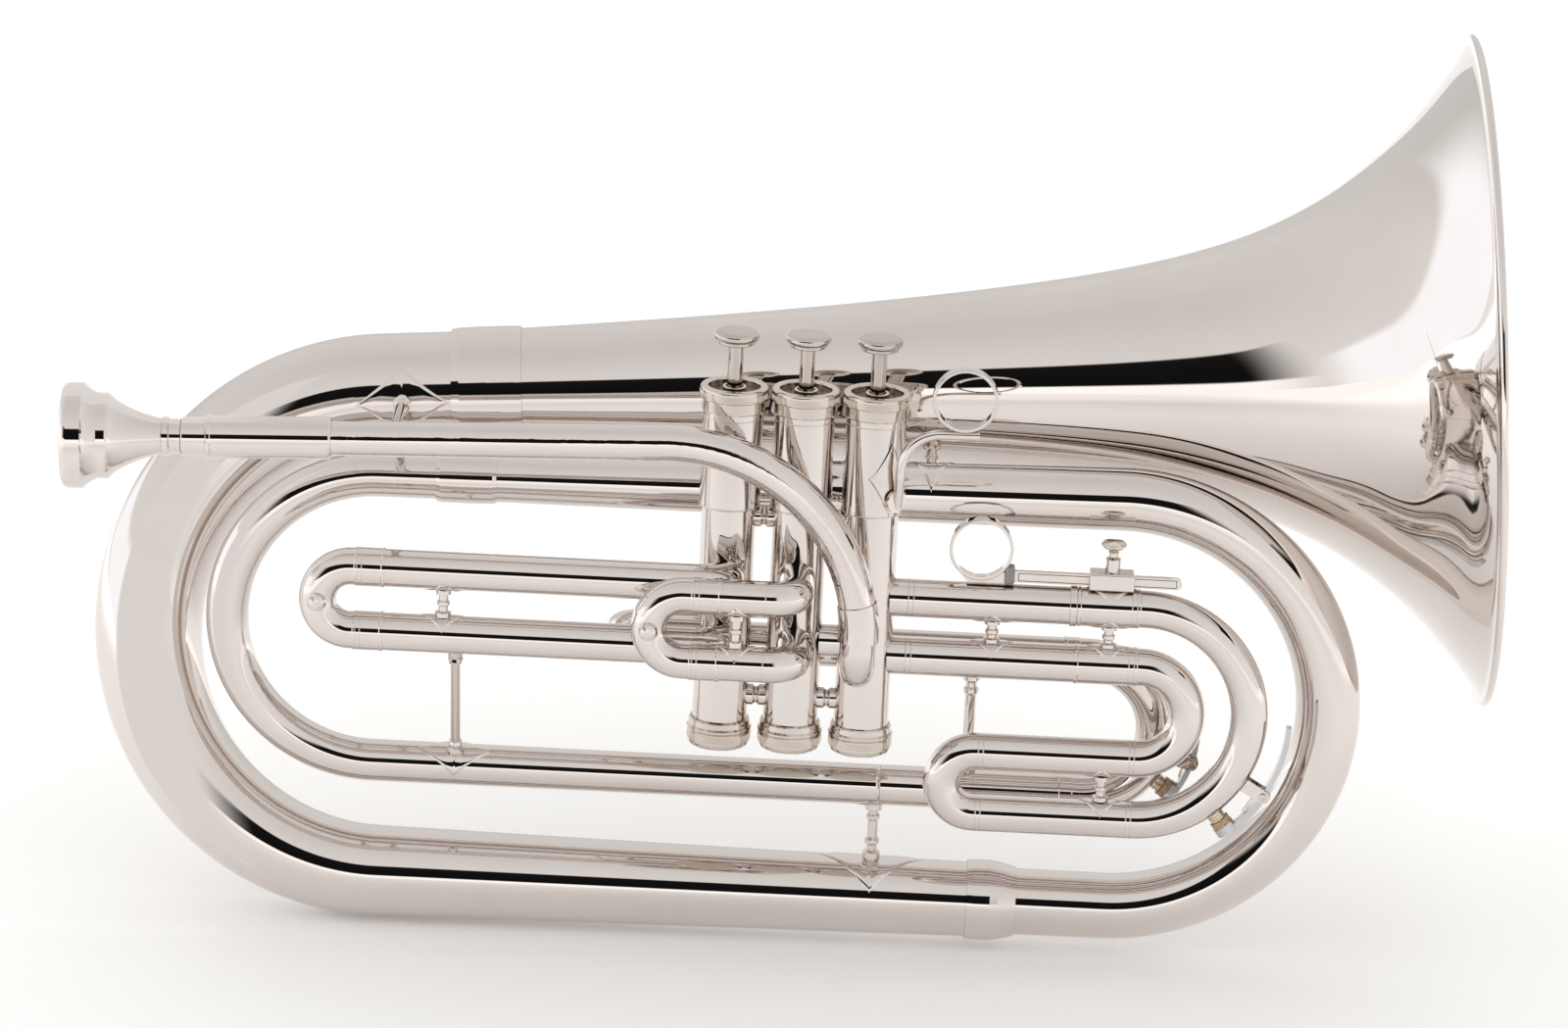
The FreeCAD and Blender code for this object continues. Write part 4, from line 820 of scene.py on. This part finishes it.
def make_cap_trim():
    """Knurled bands on the screwed caps, and dark discs on the top caps' dish floors, painted shade."""
    top_radius, top_start, top_end = 13.05, 65.3, 67.6
    bottom_radius, bottom_start, bottom_end = 12.15, -70.4, -67.4
    # painted shade: a dark disc on the floor of each top cap's dish
    floor = [(4.7, 66.5), (4.75, 66.72), (9.3, 66.72), (9.4, 66.5)]
    bands, painted_shade_discs = [], []
    for axis in VALVE_AXES.values():
        bands.append(knurl((axis, 0, 0), UP, top_radius, top_start, top_end))
        bands.append(knurl((axis, 0, 0), UP, bottom_radius, bottom_start, bottom_end))
        painted_shade_discs.append(lathe(floor, (axis, 0, 0), UP))
    points, faces = joined(bands)
    piece("cap_knurling", points, faces, silver_warm, "horn", sharp=40)
    points, faces = joined(painted_shade_discs)
    piece("cap_dish_painted_shade", points, faces, painted_shade_plate, "horn", sharp=40)


def make_buttons():
    """The finger buttons: a round-edged, slightly domed disc over a narrower lip."""
    underside, height, radius, edge = 85.6, 5.4, 8.7, 1.95
    dome = 0.2
    edge_arcs, dome_rings = 16, 8
    middle = height - dome - edge
    outline = [(0.1, 0.0), (6.6, 0.0), (6.95, 0.12), (7.1, 0.4), (7.1, 1.0), (6.95, 1.3)]
    for step in range(edge_arcs + 1):
        angle = math.radians(-70 + 155 * step / edge_arcs)
        outline.append((radius - edge + edge * math.cos(angle), middle + edge * math.sin(angle)))
    shoulder, rise = outline[-1][0], height - outline[-1][1]
    for step in range(1, dome_rings + 1):
        inward = shoulder * (1 - step / (dome_rings + 0.05))
        outline.append((inward, height - rise * (inward / shoulder) ** 2))
    for valve, axis in VALVE_AXES.items():
        points, faces = lathe(outline, (axis, 0, underside), UP, 128)
        name = "finger_button_%d" % valve
        piece("button_turned_%d" % valve, points, faces, nickel, "valve_%d" % valve, name)


def make_springs():
    """The return springs: each one's foot stands on its guide and its head closes up with the piston."""
    coils, around, thickness, ring = 7, 48, 0.53, 10
    low, high, radius = 24.95, 54.95, 6.4
    for valve, axis in VALVE_AXES.items():
        points, faces = [], []
        for step in range(coils * around + 1):
            turn = math.tau * step / around
            out = Vector((math.cos(turn), math.sin(turn), 0))
            centre = Vector((axis, 0, low + (high - low) * step / (coils * around))) + out * radius
            for spoke in range(ring):
                angle = math.tau * spoke / ring
                points.append(centre + (out * math.cos(angle) + UP * math.sin(angle)) * thickness)
        for step in range(coils * around):
            row = step * ring
            for spoke in range(ring):
                over = (spoke + 1) % ring
                faces.append((row + spoke, row + ring + spoke, row + ring + over, row + over))
        faces.append(tuple(range(ring)))
        faces.append(tuple(range(len(points) - ring, len(points)))[::-1])
        coil = shape("spring_coil_%d" % valve, points, faces, wire)
        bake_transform(coil)
        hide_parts("valve_spring_%d" % valve)


def make_key_trim(label, body, centre, bow_radius, tube_radius, pivot_at, cork_at):
    """A spit key's screw heads, its coil springs and the turned brass nipple that its cork closes.

    The key sits on a bow; pivot_at and cork_at are angles round the bow's centre, in degrees.
    """
    surface = bow_radius + tube_radius
    pivot_height, head_depth = 8.2, 3.55

    def way(degrees):
        return Vector((math.cos(math.radians(degrees)), 0, math.sin(math.radians(degrees))))

    pivot = centre + way(pivot_at) * (surface + pivot_height)
    head = [(0.05, -0.1), (1.55, -0.1), (1.75, 0.1), (1.75, 0.55)]
    head += [(1.5, 0.75), (0.7, 0.75), (0.6, 0.5), (0.05, 0.5)]
    heads = [lathe(head, pivot + BACK * side * head_depth, BACK * side, 48) for side in (-1, 1)]
    points, faces = joined(heads)
    piece(label + "_hinge_screws", points, faces, silver_warm, body, sharp=35)

    coil_radius, wire_radius, first_coil, coil_pitch, turns = 2.62, 0.2, 1.0, 0.42, 3
    leg_depth, leg_foot, leg_height, leg_reach = 1.7, 2.6, 6.6, 0.45
    section = []
    for step in range(8):
        angle = math.pi * step / 4
        section.append((coil_radius + wire_radius * math.cos(angle), wire_radius * math.sin(angle)))
    springs = []
    for side in (-1, 1):
        for turn in range(turns):
            at = pivot + BACK * side * (first_coil + turn * coil_pitch)
            springs.append(lathe(section, at, BACK, 48))
        start = pivot + BACK * side * leg_depth - way(pivot_at) * leg_foot
        rest = way(cork_at + (pivot_at - cork_at) * leg_reach) * (surface + leg_height)
        leg = straight(start, centre + rest + BACK * side * leg_depth, wire_radius)
        springs.append(leg.skin(wall=0.12, steps=12, pitch=2.0))
    points, faces = joined(springs)
    piece(label + "_key_spring", points, faces, brass, body, sharp=60)

    out = way(cork_at)
    nipple = [(3.05, 0.2), (3.3, 0.4), (3.3, 1.0), (3.05, 1.2), (3.05, 1.5)]
    nipple += [(3.3, 1.7), (3.3, 2.3), (3.02, 2.5), (2.5, 2.5), (2.5, 0.2)]
    points, faces = lathe(nipple, centre + out * surface, out, 64)
    piece(label + "_nipple", points, faces, brass, body, sharp=40)


def make_spit_keys():
    """The trim of the third slide's key and of the tuning slide's."""
    third_centre = Vector((THIRD_BOW_X, 0, THIRD_SLEEVES.upper - THIRD_BOW_RADIUS))
    make_key_trim("third", "third_slide", third_centre, THIRD_BOW_RADIUS, THIRD_RADIUS, -31.0, -50.4)
    tuning_centre = Vector((TUNING_BOW_X, LOOP_DEPTH, (TUNING_TOP + LOW_Z) / 2))
    tuning_bow_radius = (TUNING_TOP - LOW_Z) / 2
    make_key_trim("tuning", "tuning_slide", tuning_centre, tuning_bow_radius, TUNING_RADIUS, -16.3, -35.5)


def make_rod_border():
    """A dark line round the face of the ring's flat rod: painted shade along its edges."""
    start, end, inset = 84.0, 144.0, 0.75
    low, high = ROD_BOTTOM + inset, ROD_BOTTOM + ROD_HEIGHT - inset
    face = -ROD_THICKNESS / 2
    corners = [(start, face, low), (end, face, low), (end, face, high), (start, face, high)]
    lines = []
    for corner, after in zip(corners, corners[1:] + corners[:1]):
        lines.append(straight(corner, after, 0.16).skin(wall=0.1, steps=16, pitch=8.0))
    points, faces = joined(lines)
    # painted shade: a dark line along the edges of the rod's face
    piece("ring_rod_painted_shade_line", points, faces, painted_shade_plate, "finger_ring", sharp=60)


def make_ring_guide():
    """The dark block between the ring and its rod, with its corners cut and its edges bevelled."""
    left, right, half_depth, low, high = 78.6, 82.4, 2.65, -3.3, 3.3
    cut, bevel = 0.45, 0.35
    outline = [(left + cut, low), (right - cut, low), (right, low + cut), (right, high - cut)]
    outline += [(right - cut, high), (left + cut, high), (left, high - cut), (left, low + cut)]
    count = len(outline)
    flat = half_depth - bevel
    layers = ((-half_depth, bevel), (-flat, 0.0), (flat, 0.0), (half_depth, bevel))
    points = []
    for depth, inset in layers:
        middle = Vector(((left + right) / 2, depth, (low + high) / 2))
        for x, z in outline:
            corner = Vector((x, depth, z))
            points.append(corner + (middle - corner).normalized() * inset)
    faces = [tuple(range(count))[::-1], tuple(range(3 * count, 4 * count))]
    for row in range(3):
        here, there = row * count, (row + 1) * count
        for step in range(count):
            over = (step + 1) % count
            faces.append((here + step, here + over, there + over, there + step))
    piece("ring_guide", points, faces, grey, "finger_ring", sharp=30)


def make_screw_trim():
    """The thumb screw's knurled edge and its turned brass neck."""
    foot = (SCREW_X, 0, ROD_BOTTOM + ROD_HEIGHT + 0.1)
    points, faces = knurl(foot, UP, radius=4.95, start=11.5, end=12.5, teeth=60, depth=0.25)
    piece("screw_knurl", points, faces, silver, "thumb_screw", sharp=40)
    neck = [(1.35, 8.9), (2.0, 9.0), (2.05, 9.3), (1.7, 9.6), (1.55, 10.2), (1.9, 10.6), (1.3, 10.7)]
    points, faces = lathe(neck, foot, UP, 64)
    piece("screw_neck", points, faces, brass, "thumb_screw", sharp=60)


dress_nodes()
make_bell()
make_big_tubes()
make_horn_flanges()
make_third_flanges()
make_hook_plate()
make_ring_lines()
make_cap_trim()
make_buttons()
make_springs()
make_spit_keys()
make_rod_border()
make_ring_guide()
make_screw_trim()


# ---------------------------------------------------------------- studio, in metres

# Light by height in degrees above the horizon: ahead of the horn, beside it, and behind it.
AHEAD = [
    (-90, 0.85),
    (-2, 1.35),
    (5.2, 1.4),
    (6.0, 0.006),
    (28.5, 0.01),
    (29.5, 0.90),
    (45, 0.86),
    (75, 0.76),
    (90, 0.74),
]
BESIDE = [(-90, 0.85), (-4, 0.95), (4, 1.0), (12, 0.95), (30, 0.88), (60, 0.80), (90, 0.74)]
BEHIND = [(-90, 0.8), (0, 0.70), (12, 0.76), (30, 0.84), (60, 0.82), (90, 0.76)]
PANEL = (1.3, 1.34, 1.4)


def make_world():
    """A bright tent with a dark gap ahead of the horn and a white panel off its mouthpiece end."""
    world = bpy.data.worlds.new("tent")
    scene.world = world
    world.use_nodes = True
    tree = Tree(world.node_tree)
    x, y, z = tree.parts(tree.nodes.new("ShaderNodeTexCoord").outputs["Generated"])

    # height is 0 straight down, 0.5 at the horizon and 1 straight up
    height = tree.calc("ADD", tree.calc("MULTIPLY", tree.calc("ARCSINE", z), 1 / math.pi), 0.5)
    ramps = []
    for stops in (AHEAD, BESIDE, BEHIND):
        ramp = tree.nodes.new("ShaderNodeValToRGB")
        elements = ramp.color_ramp.elements
        for index, (degrees, level) in enumerate(stops):
            place = degrees / 180.0 + 0.5
            element = elements[index] if index < 2 else elements.new(place)
            element.position = place
            element.color = (level, level * 0.988, level * 0.972, 1.0)
        tree.links.new(height, ramp.inputs[0])
        ramps.append(ramp.outputs[0])
    ahead, beside, behind = ramps

    # swing is in degrees round the horn: 0 straight ahead, positive towards the bell; a pair is a soft edge
    bell_edge, mouthpiece_edge, rear_edge = (12.0, 22.0), (34.0, 56.0), (105.0, 140.0)
    panel_near, panel_far, panel_top = (52.0, 70.0), (-150.0, -125.0), (0.572, 0.590)
    swing = tree.calc("MULTIPLY", tree.calc("ARCTAN2", x, tree.calc("MULTIPLY", y, -1.0)), 180 / math.pi)
    to_left = tree.calc("MULTIPLY", swing, -1.0)
    aside = tree.calc("MAXIMUM", tree.spread(swing, *bell_edge), tree.spread(to_left, *mouthpiece_edge))
    tent = tree.mix(aside, ahead, beside)
    tent = tree.mix(tree.spread(tree.calc("ABSOLUTE", swing), *rear_edge), tent, behind)
    low = tree.spread(height, *panel_top, 1.0, 0.0)
    side = tree.calc("MULTIPLY", tree.spread(to_left, *panel_near), tree.spread(swing, *panel_far))
    tent = tree.mix(tree.calc("MULTIPLY", side, low), tent, PANEL)
    tree.links.new(tent, tree.nodes["Background"].inputs[0])
    tree.nodes["Background"].inputs[1].default_value = 1.0


def sheet(name, corners, material):
    """A flat four-cornered object, in metres."""
    mesh = bpy.data.meshes.new(name)
    mesh.from_pydata(corners, [], [(0, 1, 2, 3)])
    mesh.materials.append(material)
    thing = bpy.data.objects.new(name, mesh)
    scene.collection.objects.link(thing)
    return thing


def make_floor():
    """A wide pale floor just under the horn, glowing more away from it and towards the white panel."""
    pale, paler = (0.95, 0.945, 0.94), (0.955, 0.95, 0.945)
    shader = Shader("pale_floor", pale, 0.85, metallic=0.0)
    x, y, _ = shader.parts(shader.place)
    square = shader.calc("ADD", shader.calc("MULTIPLY", x, x), shader.calc("MULTIPLY", y, y))
    away = shader.calc("SQRT", square)

    # each of these fades runs between two distances in metres
    glow = shader.spread(away, 0.12, 0.5, 0.16, 0.3)
    far = shader.spread(away, 0.8, 1.6, 0.0, 0.3)
    left = shader.spread(shader.calc("MULTIPLY", x, -1.0), 0.5, 1.3, 0.0, 0.2)
    near = shader.spread(y, -1.2, -0.08, 0.3, 1.0)
    behind = shader.spread(y, 1.5, 2.2, 1.0, 0.0)
    shader.wire(shader.mix(shader.noise(30.0, 3.0), pale, paler), "Base Color")
    shader.surface.inputs["Emission Color"].default_value = (1.0, 0.995, 0.99, 1.0)
    beyond = shader.calc("MULTIPLY", shader.calc("ADD", far, left), behind)
    shader.wire(shader.calc("ADD", shader.calc("MULTIPLY", glow, near), beyond), "Emission Strength")

    reach = 12.0
    level = CAD_BOX[0][2] - 0.001
    corners = [(-reach, -reach, level), (reach, -reach, level), (reach, reach, level), (-reach, reach, level)]
    floor = sheet("floor", corners, shader.material)


def make_card():
    """A glowing card close ahead of the big left bow, behind the mouthpiece.

    The camera doesn't see it. It keeps the dark gap out of the bow's reflections.
    """
    ahead, left, right, low, high = 0.002, -0.34, -0.203, -0.175, 0.15
    soft = 0.025
    shader = Shader("card", (0.0, 0.0, 0.0), 1.0, metallic=0.0)
    shader.surface.inputs["Specular IOR Level"].default_value = 0.0
    across = shader.parts(shader.place)[0]
    fade_right = shader.spread(across, right - soft, right, 1.0, 0.0)
    fade_left = shader.spread(across, left, left + soft)
    shader.wire(shader.calc("MULTIPLY", fade_right, fade_left), "Alpha")
    shader.surface.inputs["Emission Color"].default_value = (1.0, 0.99, 0.98, 1.0)
    shader.surface.inputs["Emission Strength"].default_value = 0.93

    corners = [(left, ahead, low), (right, ahead, low), (right, ahead, high), (left, ahead, high)]
    card = sheet("tent_card", corners, shader.material)
    card.visible_camera = False
    card.visible_diffuse = False
    card.visible_shadow = False


def make_light(name, place, aim, size, energy):
    """A large soft area light aimed at a point, and left out of the reflections."""
    data = bpy.data.lights.new(name, "AREA")
    data.shape = "RECTANGLE"
    data.size, data.size_y = size
    data.energy = energy
    light = bpy.data.objects.new(name, data)
    light.location = place
    light.rotation_euler = (Vector(aim) - Vector(place)).to_track_quat("-Z", "Y").to_euler()
    light.visible_glossy = False
    scene.collection.objects.link(light)


def make_camera():
    """The camera stands to the horn's side, seventeen degrees up, three metres off."""
    target = Vector((-0.00606, 0.0, 0.01934))
    away, up = 3.0, math.radians(17.0)
    roll = math.radians(2.8)
    data = bpy.data.cameras.new("camera")
    data.lens = 181.9
    data.sensor_width = 36.0
    data.clip_end = 60.0
    camera = bpy.data.objects.new("camera", data)
    camera.location = target + Vector((0.0, -math.cos(up), math.sin(up))) * away
    turn = (target - camera.location).to_track_quat("-Z", "Y").to_matrix()
    turn = turn @ Matrix.Rotation(roll, 3, "Z")
    camera.matrix_world = Matrix.Translation(camera.location) @ turn.to_4x4()
    scene.collection.objects.link(camera)
    scene.camera = camera


make_world()
make_floor()
make_card()
make_light("overhead", place=(-0.4, 0.6, 2.6), aim=(0, 0, 0), size=(2.2, 1.6), energy=4.0)
make_camera()
scene.view_settings.view_transform = "Standard"
